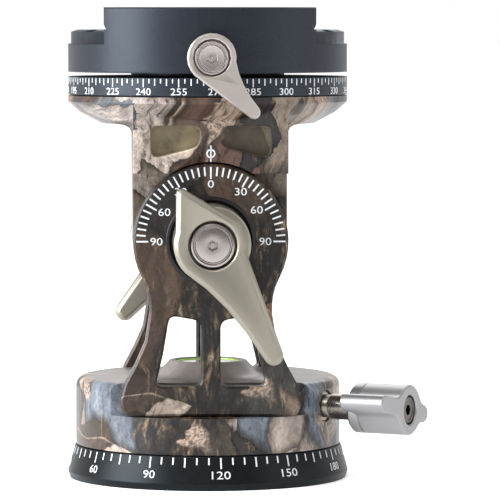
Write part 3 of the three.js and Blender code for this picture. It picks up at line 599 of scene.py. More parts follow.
    def _torn(
        self, surface: Surface, below: Signal, across: Signal, upward: Signal, layer: PatchLayer
    ) -> Signal:
        """Lays one layer of torn patches, some smooth and some like bark.

        Args:
            surface: the material's graph.
            below: the colour under the patches.
            across: place along the film.
            upward: place up the film.
            layer: the patches' sizes.

        Returns:
            The colour with the patches on it.
        """
        place = (across + layer.seed * layer.cell, upward / layer.stretch, layer.cell)
        cell = surface.cells(*place)
        walls = surface.cells(*place, "DISTANCE_TO_EDGE")
        chance, rough, tint = surface.parts(Signal(surface, cell.outputs["Color"]))
        margin = Signal(surface, walls.outputs["Distance"]) * layer.cell
        present = chance.step(layer.cover + 0.005, layer.cover - 0.005)
        colour = surface.ramp(tint, self.patch_stops, smooth=False)
        fibre = surface.streaks(across * 0.95 + rough * 31.0, upward * 0.24, rough * 7.0, 6.0, 0.74)
        streak = surface.streaks(across * 0.28, upward * 0.05, tint * 40.0, 3.0, 0.6)
        strength = rough.step(0.25, 0.75) * 3.4 + 0.5
        cloudy = (streak - 0.5) * 2.2
        tone = ((fibre - 0.5) * strength + cloudy + 0.92).at_least(0.08)
        outline = margin.step(1.7, 0.0) * 0.75
        tone = tone * (1.0 - outline)
        dressed = surface.dim(colour, tone)
        return surface.blend(present, below, dressed)

    def _leaves(
        self, surface: Surface, below: Signal, across: Signal, upward: Signal, layer: LeafLayer
    ) -> Signal:
        """Lays one scatter of leaves on the print.

        Args:
            surface: the material's graph.
            below: the colour under the leaves.
            across: place along the film.
            upward: place up the film.
            layer: the leaves' sizes.

        Returns:
            The colour with the leaves on it.
        """
        shifted = across + layer.seed * layer.cell
        cell = surface.cells(shifted, upward, layer.cell)
        site_x, site_y, _ = surface.parts(Signal(surface, cell.outputs["Position"]))
        chance, turn, tint = surface.parts(Signal(surface, cell.outputs["Color"]))
        side_x = shifted - site_x
        side_y = upward - site_y
        angle = turn * TAU
        along = side_x * angle.cosine() + side_y * angle.sine()
        beside = side_y * angle.cosine() - side_x * angle.sine()
        share = along / (layer.length / 2)
        bulge = (1.0 - share * share).at_least(0.0)
        lobed = (share * layer.lobes + chance * TAU).sine().absolute() * 0.16 + 0.82
        edge = bulge * lobed * (layer.width / 2) * (1.0 - share * 0.35) - beside.absolute()
        present = chance.step(layer.cover + 0.01, layer.cover - 0.01)
        mask = edge.step(0.0, 0.35) * present
        shadow = edge.step(-2.2, 0.2) * present
        colour = surface.ramp(tint, self.leaf_stops, smooth=False)
        fold = beside.step(-0.3, 0.3) * 0.3 + 0.75
        veins = ((along + beside.absolute() * 0.9) * 1.3).sine().step(0.8, 1.0) * 0.22
        rib = beside.absolute().step(0.3, 0.1) * 0.4
        rim = edge.step(0.8, 0.0) * 0.4
        patch = surface.streaks(along * 0.25, beside * 0.3, turn * 9.0, 5.0, 0.66)
        tone = fold * ((patch - 0.5) * 1.6 + 1.0) * (1.0 - veins) * (1.0 - rim)
        dressed = surface.dim(colour, tone)
        dressed = surface.blend(rib, dressed, self.rib_colour)
        darkened = surface.blend(shadow * 0.8, below, self.leaf_shadow)
        return surface.blend(mask, darkened, dressed)

    def _twigs(self, surface: Surface, below: Signal, across: Signal, upward: Signal) -> Signal:
        """Draws cracked twigs over the print.

        Args:
            surface: the material's nodes.
            below: the colour so far.
            across: place along the film, in millimetres.
            upward: place up the film, in millimetres.

        Returns:
            The colour with the twigs over it.
        """
        bend = surface.noise(surface.vector(across, upward, 60.0), 0.12, 2.0) * 7.0
        web_size = 34.0
        web = surface.cells(across + bend, upward * 0.6 - bend, web_size, "DISTANCE_TO_EDGE")
        distance = Signal(surface, web.outputs["Distance"]) * web_size
        patchy = surface.noise(surface.vector(across, upward, 77.0), 0.05, 1.0).step(0.55, 0.58)
        shade = distance.step(4.4, 2.4) * patchy
        core = distance.step(2.5, 2.1) * patchy
        crack = surface.streaks(across * 0.9, upward * 0.9, 90.0, 4.0, 0.7)
        tone = crack.step(0.38, 0.6) * 0.75 + 0.25
        dark = surface.blend(shade * 0.8, below, self.twig_shadow)
        twig = surface.dim(self.twig_colour, tone)
        return surface.blend(core, dark, twig)

    def _floors(self, surface: Surface, place: Signal, above: Signal, speck: Signal) -> Signal:
        """Sprays the pockets of the tilting body olive, the right one thinly.

        Args:
            surface: the material's nodes.
            place: the object coordinates, in millimetres.
            above: the print.
            speck: the print's fine grain, from 0 to 1.

        Returns:
            The print with the sprayed floors.
        """
        x, y, z = surface.parts(place)
        sunk = y.absolute()
        within_depth = sunk.step(31.4, 31.1) * sunk.step(25.8, 26.2)
        within_height = z.step(87.2, 87.5) * z.step(97.0, 96.8)
        inside = within_depth * within_height * x.absolute().step(16.4, 16.1)
        cloud = surface.noise(place, 0.22, 3.0) * 1.3 + speck * 0.5 - 0.05
        olive = surface.dim(self.pocket_colour, cloud)
        return surface.blend(inside * (1.0 - x.step(-1.0, 1.0) * 0.68), above, olive)

    def _boss(self, surface: Surface, place: Signal, above: Signal, speck: Signal) -> Signal:
        """Lays a pale, soft patch over most of the housing's roof and boss: a painted reflection of the white
        surroundings.

        Args:
            surface: the material's nodes.
            place: the object coordinates, in millimetres.
            above: the print.
            speck: the print's fine grain, from 0 to 1.

        Returns:
            The print with the painted reflection.
        """
        x, y, z = surface.parts(place)
        radius = surface.reach(x, y)
        cloud = surface.noise(place, 0.12, 3.0)
        tone = cloud * 1.1 + (speck - 0.5) * 0.3 + 0.42
        # painted reflection: a pale tone over the roof and boss, in place of the white surroundings mirrored
        # there
        pale = surface.dim(self.roof_colour, tone)
        roof = radius.step(35.0, 32.0) * z.step(23.0, 26.0)
        return surface.blend(roof * 0.88, above, pale)


@dataclass(frozen=True)
class PrintInk:
    """White ink of the scales."""

    name: str = "white_ink"
    colour: Colour = (0.70, 0.72, 0.75)

    def build(self) -> bpy.types.Material:
        """Makes the slightly worn ink.

        Returns:
            The material.
        """
        surface = Surface(self.name)
        worn = surface.noise(surface.place(), 3.0, 2.0)
        tone = (worn - 0.5) * 0.12 + 1.0
        shade = surface.dim(self.colour, tone)
        surface.set(base_color=shade, roughness=0.5)
        return surface.material


@dataclass(frozen=True)
class VialLiquid:
    """Green liquid of the level under a clear lens."""

    name: str = "vial_liquid"
    colour: Colour = (0.62, 0.82, 0.22)

    def build(self) -> bpy.types.Material:
        """Makes the liquid, paler in its middle.

        Returns:
            The material.
        """
        surface = Surface(self.name)
        x, y, _ = surface.parts(surface.place())
        radius = surface.reach(x, y)
        pale = surface.blend(radius.step(7.8, 4.5), self.colour, (0.93, 0.96, 0.86))
        surface.set(base_color=pale, roughness=0.06, coat_weight=1.0, coat_roughness=0.02)
        return surface.material


Finish = MetalFinish | TurnedFinish | CamoPrint | PrintInk | VialLiquid


class Finishes:
    """All finishes of the head, each built once."""

    def __init__(self) -> None:
        """Starts with no material built."""
        self._built: dict[str, bpy.types.Material] = {}

    def get(self, finish: Finish) -> bpy.types.Material:
        """Builds a finish the first time it is asked for.

        Args:
            finish: the finish.

        Returns:
            Its material.
        """
        if finish.name not in self._built:
            self._built[finish.name] = finish.build()
        return self._built[finish.name]


FINISHES = Finishes()
KNOB_AXIS = (0.8746197, -0.4848096, 0.0)
KNOB_CENTRE = (0.0, 0.0, 20.6)
TILT_CENTRE = (0.0, 0.0, 65.9)

BLACK = MetalFinish(
    "black_anodised", (0.009, 0.0105, 0.0145), 0.1, 0.4, 0.45, 0.03, 0.15, 0.6, 0.03, 0.4,
    (0.74, 0.85, 1.0), 1.6,
)
# a darker, less shiny copy of the black anodising: painted shade for the foot near the floor
SHADED_FOOT_BLACK = MetalFinish(
    "black_anodised_foot_shaded", (0.005, 0.0062, 0.0064), 0.1, 0.36, 0.45, 0.025, 0.15, 0.5, 0.03, 0.2,
    (0.8, 0.9, 1.0), 1.6,
)
BEZEL_BLACK = MetalFinish("black_bezel", (0.006, 0.006, 0.007), 0.2, 0.28, 0.3, 0.002, 0.1, 0.1)
LIME = MetalFinish("lime_acrylic", (0.46, 0.72, 0.10), 0.0, 0.22, 0.6, 0.001, 0.05, 0.1)
LEVER_SILVER = MetalFinish("champagne_silver", (0.29, 0.27, 0.222), 0.8, 0.36, 0.2, 0.006, 0.05, 0.7)
CLAMP_SILVER = MetalFinish("rose_silver", (0.42, 0.382, 0.355), 0.8, 0.36, 0.2, 0.006, 0.04, 0.3)
KNOB_SILVER = TurnedFinish("turned_aluminium", (0.32, 0.318, 0.325), 0.42, KNOB_CENTRE, KNOB_AXIS)
STEM_STEEL = TurnedFinish("stem_steel", (0.25, 0.225, 0.195), 0.28, KNOB_CENTRE, KNOB_AXIS)
SCREW_STEEL = TurnedFinish("screw_steel", (0.36, 0.325, 0.31), 0.26, TILT_CENTRE, (0.0, 1.0, 0.0), 0.3)
DARK_STEEL = MetalFinish("dark_steel", (0.115, 0.10, 0.09), 1.0, 0.34, 0.4, 0.003, 0.05, 0.1)
DRAW_STEEL = TurnedFinish("draw_steel", (0.48, 0.445, 0.43), 0.26, (0.0, 0.0, 114.7), (0.0, 1.0, 0.0), 0.3)
PLAIN_STEEL = MetalFinish("plain_steel", (0.45, 0.43, 0.42), 1.0, 0.3, 0.5, 0.002, 0.03, 0.1)
BRASS = MetalFinish("bearing_brass", (0.62, 0.45, 0.2), 1.0, 0.34, 0.4, 0.003, 0.05, 0.1)
POLYMER = MetalFinish("bearing_polymer", (0.78, 0.76, 0.71), 0.0, 0.6, 0.6, 0.003, 0.03, 0.1)
CAMO_FLAT = CamoPrint(
    "camo_on_plates", Wrap.FLAT, gain=0.82,
    patch_stops=(
        (0.0, (0.095, 0.050, 0.034)),
        (0.2, (0.030, 0.029, 0.028)),
        (0.42, (0.17, 0.125, 0.09)),
        (0.52, (0.016, 0.013, 0.012)),
        (0.7, (0.065, 0.040, 0.026)),
        (0.85, (0.26, 0.20, 0.16)),
        (0.93, (0.040, 0.036, 0.033)),
    ),
    patches=(PatchLayer(16.0, 2.0, 2.31, 0.55), PatchLayer(8.0, 1.7, 6.47, 0.16)),
    leaves=(LeafLayer(27.0, 33.0, 11.5, 3.7, 9.0, 0.16), LeafLayer(14.0, 16.0, 5.6, 9.1, 7.0, 0.12)),
)
# the housing's print carries a painted reflection of the white surroundings on its roof and boss
CAMO_ROUND = CamoPrint("camo_on_housing", Wrap.ROUND, pale_boss=True, gain=1.14)
CAMO_POCKETS = CamoPrint("camo_on_tilting_body", Wrap.FLAT, pocket_floors=True)
INK = PrintInk()
VIAL = VialLiquid()


# Mesh helpers

SHARP = math.radians(28)


def mesh_of(work: bmesh.types.BMesh, name: str, sharp: float | None = None) -> bpy.types.Mesh:
    """Makes a mesh of finished work and frees the work.

    Args:
        work: the faces.
        name: the mesh's name.
        sharp: the angle from which the edges of a smooth mesh stay sharp, or None for flat faces.

    Returns:
        The mesh.
    """
    mesh = bpy.data.meshes.new(name)
    work.to_mesh(mesh)
    work.free()
    if sharp is not None:
        for polygon in mesh.polygons:
            polygon.use_smooth = True
        mesh.set_sharp_from_angle(angle=sharp)
    return mesh


def skin(work: bmesh.types.BMesh, rows: Sequence[Sequence[Vector]], wraps: bool = True) -> None:
    """Joins closed rows of points by faces that look outwards.

    Args:
        work: where the faces go.
        rows: the points of each row, in millimetres. A row of a skin that doesn't wrap may be one point.
        wraps: whether the last row joins the first.
    """
    rings = [[work.verts.new(point * MM) for point in row] for row in rows]
    for ring, after in zip(rings, rings[1:] + (rings[:1] if wraps else [])):
        sides = max(len(ring), len(after))
        for i in range(sides):
            k = (i + 1) % sides
            corners = (ring[i % len(ring)], ring[k % len(ring)], after[k % len(after)], after[i % len(after)])
            work.faces.new(list(dict.fromkeys(corners)))
    bmesh.ops.recalc_face_normals(work, faces=work.faces)


def turned_rows(
    section: Sequence[tuple[float, float]], sides: int, centre: float = 0.0, side: float = 1.0
) -> list[list[Vector]]:
    """Turns a closed section about an axis along Y.

    Args:
        section: the radius and the distance along Y of each corner.
        sides: how many rows there are.
        centre: the axis's height.
        side: 1, or -1 to mirror the section along Y.

    Returns:
        The rows of points.
    """
    angles = [TAU * i / sides for i in range(sides)]
    return [
        [Vector((r * math.cos(a), y * side, r * math.sin(a) + centre)) for r, y in section] for a in angles
    ]


def new_piece(name: str, mesh: bpy.types.Mesh, finish: Finish, body: str, slot: str) -> bpy.types.Object:
    """Adds a finished mesh to the scene and lets it ride on a body.

    Args:
        name: the piece's name.
        mesh: its mesh, in place.
        finish: its finish.
        body: the CAD body that carries it.
        slot: the record's material slot; not used.

    Returns:
        The new object.
    """
    mesh.name = name
    piece = bpy.data.objects.new(name, mesh)
    bpy.context.scene.collection.objects.link(piece)
    mesh.materials.clear()
    mesh.materials.append(FINISHES.get(finish))
    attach(piece, body)
    return piece


def dress(finish: Finish, *nodes: str) -> None:
    """Gives a finish to CAD nodes that stay as they are.

    Args:
        finish: their finish.
        *nodes: the CAD nodes.
    """
    for node in nodes:
        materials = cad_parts[node].data.materials
        materials.clear()
        materials.append(FINISHES.get(finish))


@dataclass(frozen=True)
class Refinement:
    """How a copy of a CAD solid is finished: how round its keen outer edges are, and where they lie."""

    edge: float = 0.0
    keen: float = math.radians(60)
    low: tuple[float, float, float] = (-100.0, -100.0, -10.0)
    high: tuple[float, float, float] = (100.0, 100.0, 200.0)
    merge: float = 0.002
    flat: float = math.radians(0.4)
    segments: int = 2

    def _rounds(self, edge: bmesh.types.BMEdge) -> bool:
        """Tells whether an edge is to be rounded.

        Args:
            edge: the edge.

        Returns:
            Whether it is keen, points outwards and lies in the chosen box.
        """
        if len(edge.link_faces) != 2 or not edge.is_convex or edge.calc_face_angle() < self.keen:
            return False
        return all(
            low <= vertex.co[i] / MM <= high
            for vertex in edge.verts for i, (low, high) in enumerate(zip(self.low, self.high))
        )

    def copy_of(self, node: str) -> bpy.types.Mesh:
        """Copies a node's mesh, merged, softened and smoothly shaded.

        Args:
            node: the CAD node.

        Returns:
            The copy.
        """
        work = bmesh.new()
        work.from_mesh(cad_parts[node].data)
        bmesh.ops.remove_doubles(work, verts=work.verts, dist=self.merge * MM)
        bmesh.ops.dissolve_limit(work, angle_limit=self.flat, verts=work.verts, edges=work.edges)
        if self.edge:
            edges = [edge for edge in work.edges if self._rounds(edge)]
            bmesh.ops.bevel(
                work, geom=edges, offset=self.edge * MM, offset_type="OFFSET", segments=self.segments,
                profile=0.5, affect="EDGES", clamp_overlap=False,
            )
            LOG.info("rounded %d edges of %s", len(edges), node)
        return mesh_of(work, node, SHARP)


def refine(
    node: str, finish: Finish, body: str, slot: str, how: Refinement = Refinement()
) -> bpy.types.Object:
    """Replaces a CAD node by a softened copy with a finish.

    Args:
        node: the CAD node.
        finish: the copy's finish.
        body: the body that carries it.
        slot: the record's material slot.
        how: how its edges are rounded.

    Returns:
        The copy.
    """
    piece = new_piece(f"{node}_finished", how.copy_of(node), finish, body, slot)
    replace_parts(piece, node)
    LOG.info("refined %s: %d faces", node, len(piece.data.polygons))
    return piece


def joined(meshes: Iterable[bpy.types.Mesh], name: str) -> bpy.types.Mesh:
    """Makes one mesh of several, and removes those.

    Args:
        meshes: the meshes to join.
        name: the new mesh's name.

    Returns:
        The new mesh.
    """
    work = bmesh.new()
    for mesh in meshes:
        work.from_mesh(mesh)
        bpy.data.meshes.remove(mesh)
    return mesh_of(work, name)


def evaluated_mesh(carrier: bpy.types.Object) -> bpy.types.Mesh:
    """Turns an object with its modifiers into a plain mesh, and removes the object.

    Args:
        carrier: the object.

    Returns:
        The mesh.
    """
    bpy.context.view_layer.update()
    graph = bpy.context.evaluated_depsgraph_get()
    mesh = bpy.data.meshes.new_from_object(carrier.evaluated_get(graph))
    bpy.data.objects.remove(carrier)
    return mesh


# Printed scales


@dataclass
class TickRow:
    """Ticks along a ring or a dial, made by Geometry Nodes. Lengths are in millimetres."""

    count: int
    first_angle: float
    radius: float
    height: float
    lean: float
    short: float
    middle: float
    long: float
    middle_every: int
    long_every: int
    step: float = math.radians(5)
    width: float = 0.4
    thickness: float = 0.07
    lift: float = 0.02

    def mesh(self) -> bpy.types.Mesh:
        """Makes the ticks with Geometry Nodes.

        Returns:
            A plain mesh, standing on the row's ring about Z.
        """
        tree = bpy.data.node_groups.new("tick_row", "GeometryNodeTree")
        sizes = {
            "First Angle": self.first_angle, "Step": self.step, "Radius": (self.radius + self.lift) * MM,
            "Height": self.height * MM, "Lean": self.lean, "Short": self.short * MM,
            "Middle": self.middle * MM, "Long": self.long * MM, "Width": self.width * MM,
            "Thickness": self.thickness * MM,
        }
        whole = {"Count": self.count, "Middle Every": self.middle_every, "Long Every": self.long_every}
        interface = tree.interface
        interface.new_socket("Geometry", in_out="OUTPUT", socket_type="NodeSocketGeometry")
        for name in sizes:
            interface.new_socket(name, in_out="INPUT", socket_type="NodeSocketFloat")
        for name in whole:
            interface.new_socket(name, in_out="INPUT", socket_type="NodeSocketInt")
        interface.new_socket("Material", in_out="INPUT", socket_type="NodeSocketMaterial")
        self._wire(Graph(tree))
        carrier = bpy.data.objects.new("tick_carrier", bpy.data.meshes.new("tick_carrier"))
        bpy.context.scene.collection.objects.link(carrier)
        modifier = carrier.modifiers.new("ticks", "NODES")
        modifier.node_group = tree
        values = {**sizes, **whole, "Material": FINISHES.get(INK)}
        for item in interface.items_tree:
            if item.item_type == "SOCKET" and item.in_out == "INPUT":
                modifier[item.identifier] = values[item.name]
        mesh = evaluated_mesh(carrier)
        bpy.data.node_groups.remove(tree)
        return mesh

    @staticmethod
    def _wire(graph: Graph) -> None:
        """Adds the nodes that place, size and turn one bar for each tick.

        Args:
            graph: the tree, whose inputs are there already.
        """
        given = graph.add("NodeGroupInput")
        taken = {out.name: Signal(graph, out) for out in given.outputs if out.name}
        index = Signal(graph, graph.add("GeometryNodeInputIndex").outputs[0])
        angle = taken["First Angle"] + index * taken["Step"]
        middle = index.every(taken["Middle Every"])
        long = index.every(taken["Long Every"])
        length = taken["Short"] + middle * (taken["Middle"] - taken["Short"])
        length = length + long * (taken["Long"] - taken["Middle"])
        radius = taken["Radius"]
        place = graph.vector(angle.cosine() * radius, angle.sine() * radius, taken["Height"])
        line = graph.add("GeometryNodeMeshLine", {"Count": taken["Count"]})
        spread = graph.add("GeometryNodeSetPosition", {"Geometry": line.outputs[0], "Position": place})
        bar = graph.add("GeometryNodeMeshCube", {"Size": (1.0, 1.0, 1.0)})
        hung = graph.add(
            "GeometryNodeTransform", {"Geometry": bar.outputs[0], "Translation": (0.0, 0.0, -0.5)}
        )
        turn = graph.add("FunctionNodeEulerToRotation", {0: graph.vector(0.0, taken["Lean"], angle)})
        size = graph.vector(taken["Thickness"], taken["Width"], length)
        copies = graph.add(
            "GeometryNodeInstanceOnPoints",
            {
                "Points": spread.outputs[0], "Instance": hung.outputs[0], "Rotation": turn.outputs[0],
                "Scale": size,
            },
        )
        real = graph.add("GeometryNodeRealizeInstances", {"Geometry": copies.outputs[0]})
        inked = graph.add(
            "GeometryNodeSetMaterial", {"Geometry": real.outputs[0], "Material": taken["Material"]}
        )
        result = graph.add("NodeGroupOutput")
        graph.tree.links.new(inked.outputs[0], result.inputs[0])


def numeral_mesh(text: str, height: float, depth: float, digit_share: float = 0.8) -> bpy.types.Mesh:
    """Returns a numeral that stands in X and Y about the origin, in metres.

    Args:
        text: the characters.
        height: their height in millimetres.
        depth: their thickness in millimetres.
        digit_share: the width of one digit against the height.

    Returns:
        The numeral's mesh.
    """
    curve = bpy.data.curves.new("numeral", "FONT")
    curve.body = text
    curve.extrude = 0.02
    curve.resolution_u = 3
    carrier = bpy.data.objects.new("numeral", curve)
    bpy.context.scene.collection.objects.link(carrier)
    mesh = evaluated_mesh(carrier)
    bpy.data.curves.remove(curve)
    points = [vertex.co for vertex in mesh.vertices]
    low = Vector(min(p[i] for p in points) for i in range(3))
    high = Vector(max(p[i] for p in points) for i in range(3))
    middle = (low + high) / 2
    size = Vector((digit_share * len(text) * height, height, depth)) * MM
    scale = [size[i] / (high[i] - low[i]) for i in range(3)]
    mesh.transform(Matrix.Diagonal((*scale, 1.0)) @ Matrix.Translation(-middle))
    return mesh


def bent(mesh: bpy.types.Mesh, place: Callable[[Vector], Vector]) -> bpy.types.Mesh:
    """Moves each point of a mesh.

    Args:
        mesh: the mesh, which is changed.
        place: gives a point's new place.

    Returns:
        The same mesh.
    """
    for vertex in mesh.vertices:
        vertex.co = place(vertex.co)
    work = bmesh.new()
    work.from_mesh(mesh)
    bmesh.ops.remove_doubles(work, verts=work.verts, dist=1e-7)
    bmesh.ops.recalc_face_normals(work, faces=work.faces)
    work.to_mesh(mesh)
    work.free()
    return mesh


@dataclass
class RingScale:
    """A printed scale round a ring about Z, with upright numerals. Angles run from the front towards +X."""

    name: str
    body: str
    ticks: TickRow
    numerals: dict[int, float]
    numeral_radius: float
    numeral_height: float
    centre: float
    depth: float = 0.06

    def build(self) -> bpy.types.Object:
        """Prints the ticks and numerals.

        Returns:
            The printed piece.
        """
        meshes = [self.ticks.mesh()]
        meshes += [self._numeral(number, angle) for number, angle in self.numerals.items()]
        piece = new_piece(self.name, joined(meshes, self.name), INK, self.body, "black_anodised")
        LOG.info("printed %s: %d numerals", self.name, len(self.numerals))
        return piece

    def _numeral(self, number: int, angle: float) -> bpy.types.Mesh:
        """Wraps one numeral on the ring, or on the cone that the ticks lean with.

        Args:
            number: what it says.
            angle: where it stands round the ring, in radians.

        Returns:
            The numeral's mesh.
        """
        lean = self.ticks.lean
        radius = self.numeral_radius

        def wrap(point: Vector) -> Vector:
            """Finds where a point of the flat numeral lies on the ring.

            Args:
                point: the point, in metres.

            Returns:
                Its place on the ring.
            """
            turn = angle + point.x / (radius * MM)
            out = (radius + self.ticks.lift) * MM + point.z * math.cos(lean) + point.y * math.sin(lean)
            height = self.centre * MM + point.y * math.cos(lean)
            return Vector((out * math.sin(turn), -out * math.cos(turn), height))

        return bent(numeral_mesh(str(number), self.numeral_height, self.depth), wrap)


@dataclass
class DialScale:
    """The tilt dial on the front plate: half a circle of ticks and upright numerals."""

    face: float = -31.5
    centre: float = 65.9
    outer: float = 19.8
    numeral_height: float = 2.0
    depth: float = 0.06
    numerals: tuple = (
        (0, 0.0, 15.3), (30, 31.0, 15.45), (60, 55.4, 14.8), (90, 90.0, 14.45),
        (30, -31.0, 15.45), (60, -57.6, 14.6), (90, -90.0, 14.45),
    )

    def build(self) -> bpy.types.Object:
        """Prints the dial's ticks and numerals.

        Returns:
            The printed piece.
        """
        row = TickRow(
            count=37, first_angle=0.0, radius=self.outer, height=0.0, lean=math.pi / 2, short=2.4, middle=2.4,
            long=3.2, middle_every=3, long_every=6, width=0.42,
        )
        stand = Matrix.Translation((0, (self.face - row.lift - row.thickness / 2) * MM, self.centre * MM))
        upright = stand @ Matrix.Rotation(math.pi / 2, 4, "X")
        ticks = row.mesh()
        ticks.transform(upright)
        meshes = [ticks]
        for number, angle, radius in self.numerals:
            turn = math.radians(angle)
            digits = numeral_mesh(str(number), self.numeral_height, self.depth)
            shift = Matrix.Translation((radius * MM * math.sin(turn), radius * MM * math.cos(turn), 0))
            digits.transform(upright @ shift)
            meshes.append(digits)
        piece = new_piece("tilt_dial_print", joined(meshes, "dial"), INK, "housing", "camo_coat")
        LOG.info("printed the tilt dial")
        return piece


@dataclass
class IndexMark:
    """The index on the tilting body: a small ring with a line through it."""

    face: float = -31.5
    centre: float = 89.25
    outer: float = 1.2
    stroke: float = 0.36
    reach: float = 2.15
    depth: float = 0.06
    sides: int = 40

    def build(self) -> bpy.types.Object:
        """Prints the ring and the line through it.

        Returns:
            The printed piece.
        """
        work = bmesh.new()
        half, inner = self.depth / 2, self.outer - self.stroke
        section = [(self.outer, -half), (self.outer, half), (inner, half), (inner, -half)]
        skin(work, turned_rows(section, self.sides))
        bmesh.ops.create_cube(
            work, size=1.0,
            matrix=Matrix.Diagonal((self.stroke * MM, self.depth * MM, 2 * self.reach * MM, 1.0)),
        )
        mesh = mesh_of(work, "index")
        mesh.transform(Matrix.Translation((0, (self.face - self.depth / 2) * MM, self.centre * MM)))
        piece = new_piece("tilt_index_print", mesh, INK, "upper", "camo_coat")
        LOG.info("printed the index mark")
        return piece


# Turned pieces


@dataclass
class TurnedScrew:
    """A screw turned about Z from a profile of radius and height, with a hexagon socket and a pin in it."""

    profile: tuple[tuple[float, float], ...]
    socket_radius: float
    socket_depth: float
    pin_radius: float
    pin_drop: float
    sides: int = 72

    def replace(self, node: str, place: Matrix, finish: Finish, body: str) -> None:
        """Replaces a CAD screw by this one.

        Args:
            node: the CAD node.
            place: where the screw stands, its head towards +Z.
            finish: its finish.
            body: the body that carries it.
        """
        mesh = self._mesh()
        mesh.transform(place)
        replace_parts(new_piece(f"{node}_turned", mesh, finish, body, "steel"), node)

    def _mesh(self) -> bpy.types.Mesh:
        """Turns the screw with its socket and pin.

        Returns:
            Its mesh, head towards +Z.
        """
        foot, top = self.profile[0][1], self.profile[-1][1]
        floor, pin_top = top - self.socket_depth, top - self.pin_drop
        rows = [[Vector((0.0, 0.0, foot))]]
        rows += [self._row(radius, height) for radius, height in self.profile[1:]]
        rows += [self._row(self.socket_radius, height, hexagon=True) for height in (top, floor)]
        rows += [self._row(self.pin_radius, height) for height in (floor, pin_top)]
        rows.append([Vector((0.0, 0.0, pin_top))])
        work = bmesh.new()
        skin(work, rows, wraps=False)
        return mesh_of(work, "turned_screw", SHARP)

    def _row(self, radius: float, height: float, hexagon: bool = False) -> list[Vector]:
        """Lays points about Z, on a circle or on a hexagon.

        Args:
            radius: how far they lie out, to the flats on a hexagon.
            height: how high they lie.
            hexagon: whether they lie on a hexagon.

        Returns:
            The points, in millimetres.
        """
        points = []
        for i in range(self.sides):
            angle = TAU * i / self.sides
            from_flat = (angle + math.pi / 6) % (math.pi / 3) - math.pi / 6
            reach = radius / math.cos(from_flat) if hexagon else radius
            points.append(Vector((reach * math.cos(angle), reach * math.sin(angle), height)))
        return points


@dataclass
class TurnedRing:
    """A ring turned about Y from a closed profile of radius and distance along Y, seen from -Y."""

    name: str
    body: str
    slot: str
    finish: Finish
    profile: tuple[tuple[float, float], ...]
    centre: float
    side: float = 1.0
    sides: int = 96

    def build(self) -> bpy.types.Object:
        """Turns the ring.

        Returns:
            The new piece.
        """
        work = bmesh.new()
        skin(work, turned_rows(self.profile, self.sides, self.centre, self.side))
        mesh = mesh_of(work, self.name, SHARP)
        return new_piece(self.name, mesh, self.finish, self.body, self.slot)


# Sub-assemblies


@dataclass
class Foot:
    """The foot with the lower scale, and what turns on it inside."""

    cone_spread: float = 2.0
    cone_height: float = 7.2
    cone_top: float = 9.0
    top_radius: float = 36.35
    tick_top: float = 8.7
    front_angle: float = math.radians(3.9)
    front_number: int = 120
    numeral_step: int = 30
    numeral_centre: float = 4.2

    def build(self) -> None:
        """Dresses the foot."""
        # the foot gets the darker copy of the black anodising, which is painted shade
        refine("foot_scale_base", SHADED_FOOT_BLACK, "base", "black_anodised")
        dress(PLAIN_STEEL, "stud_insert", "pan_bolt")
        dress(POLYMER, "pan_thrust_washer")
        self._scale().build()

    def _scale(self) -> RingScale:
        """Sets out the lower scale on the cone.

        Returns:
            The scale.
        """
        slope = self.cone_spread / self.cone_height
        heights = (self.tick_top, self.numeral_centre)
        tick_radius, numeral_radius = (self.top_radius + (self.cone_top - h) * slope for h in heights)
        zero = self.front_angle - math.radians(self.front_number)
        numbers = {n: zero + math.radians(n) for n in range(0, 360, self.numeral_step)}
        ticks = TickRow(
            count=72, first_angle=zero - math.pi / 2, radius=tick_radius, height=self.tick_top,
            lean=-math.atan(slope), short=1.9, middle=2.6, long=2.95, middle_every=3, long_every=6,
        )
        return RingScale("foot_scale_print", "base", ticks, numbers, numeral_radius, 2.1, self.numeral_centre)


@dataclass
class Housing:
    """The panning housing, its level, both upright plates and the pan lock."""

    ends: dict[str, float] = field(default_factory=lambda: {"front": -1.0, "rear": 1.0})
    tilt_height: float = 65.9
    bezel_profile: tuple = (
        (10.7, 29.3), (11.38, 29.3), (11.38, 31.5), (11.95, 31.5), (11.95, 31.62), (11.75, 31.85),
        (11.1, 31.85), (10.85, 31.6), (10.7, 31.3),
    )

    def build(self) -> None:
        """Dresses the housing and what it carries."""
        refine("pan_housing", CAMO_ROUND, "housing", "camo_coat")
        for end in self.ends:
            refine(f"{end}_plate", CAMO_FLAT, "housing", "camo_coat")
            dress(PLAIN_STEEL, f"{end}_foot_screw_left", f"{end}_foot_screw_right")
            dress(POLYMER, f"{end}_friction_disc")
        refine("level_lens", VIAL, "housing", "level_glass")
        refine("pan_lock_bush", STEM_STEEL, "housing", "satin_bare")
        dress(LIME, "level_cup")
        dress(BRASS, "pan_bush", "pan_lock_pad")
        dress(PLAIN_STEEL, "tilt_axle", "tilt_washer", "drag_washer")
        for end, side in self.ends.items():
            TurnedRing(
                f"{end}_hub_bezel", "housing", "black_anodised", BEZEL_BLACK, self.bezel_profile,
                self.tilt_height, side,
            ).build()
        DialScale().build()


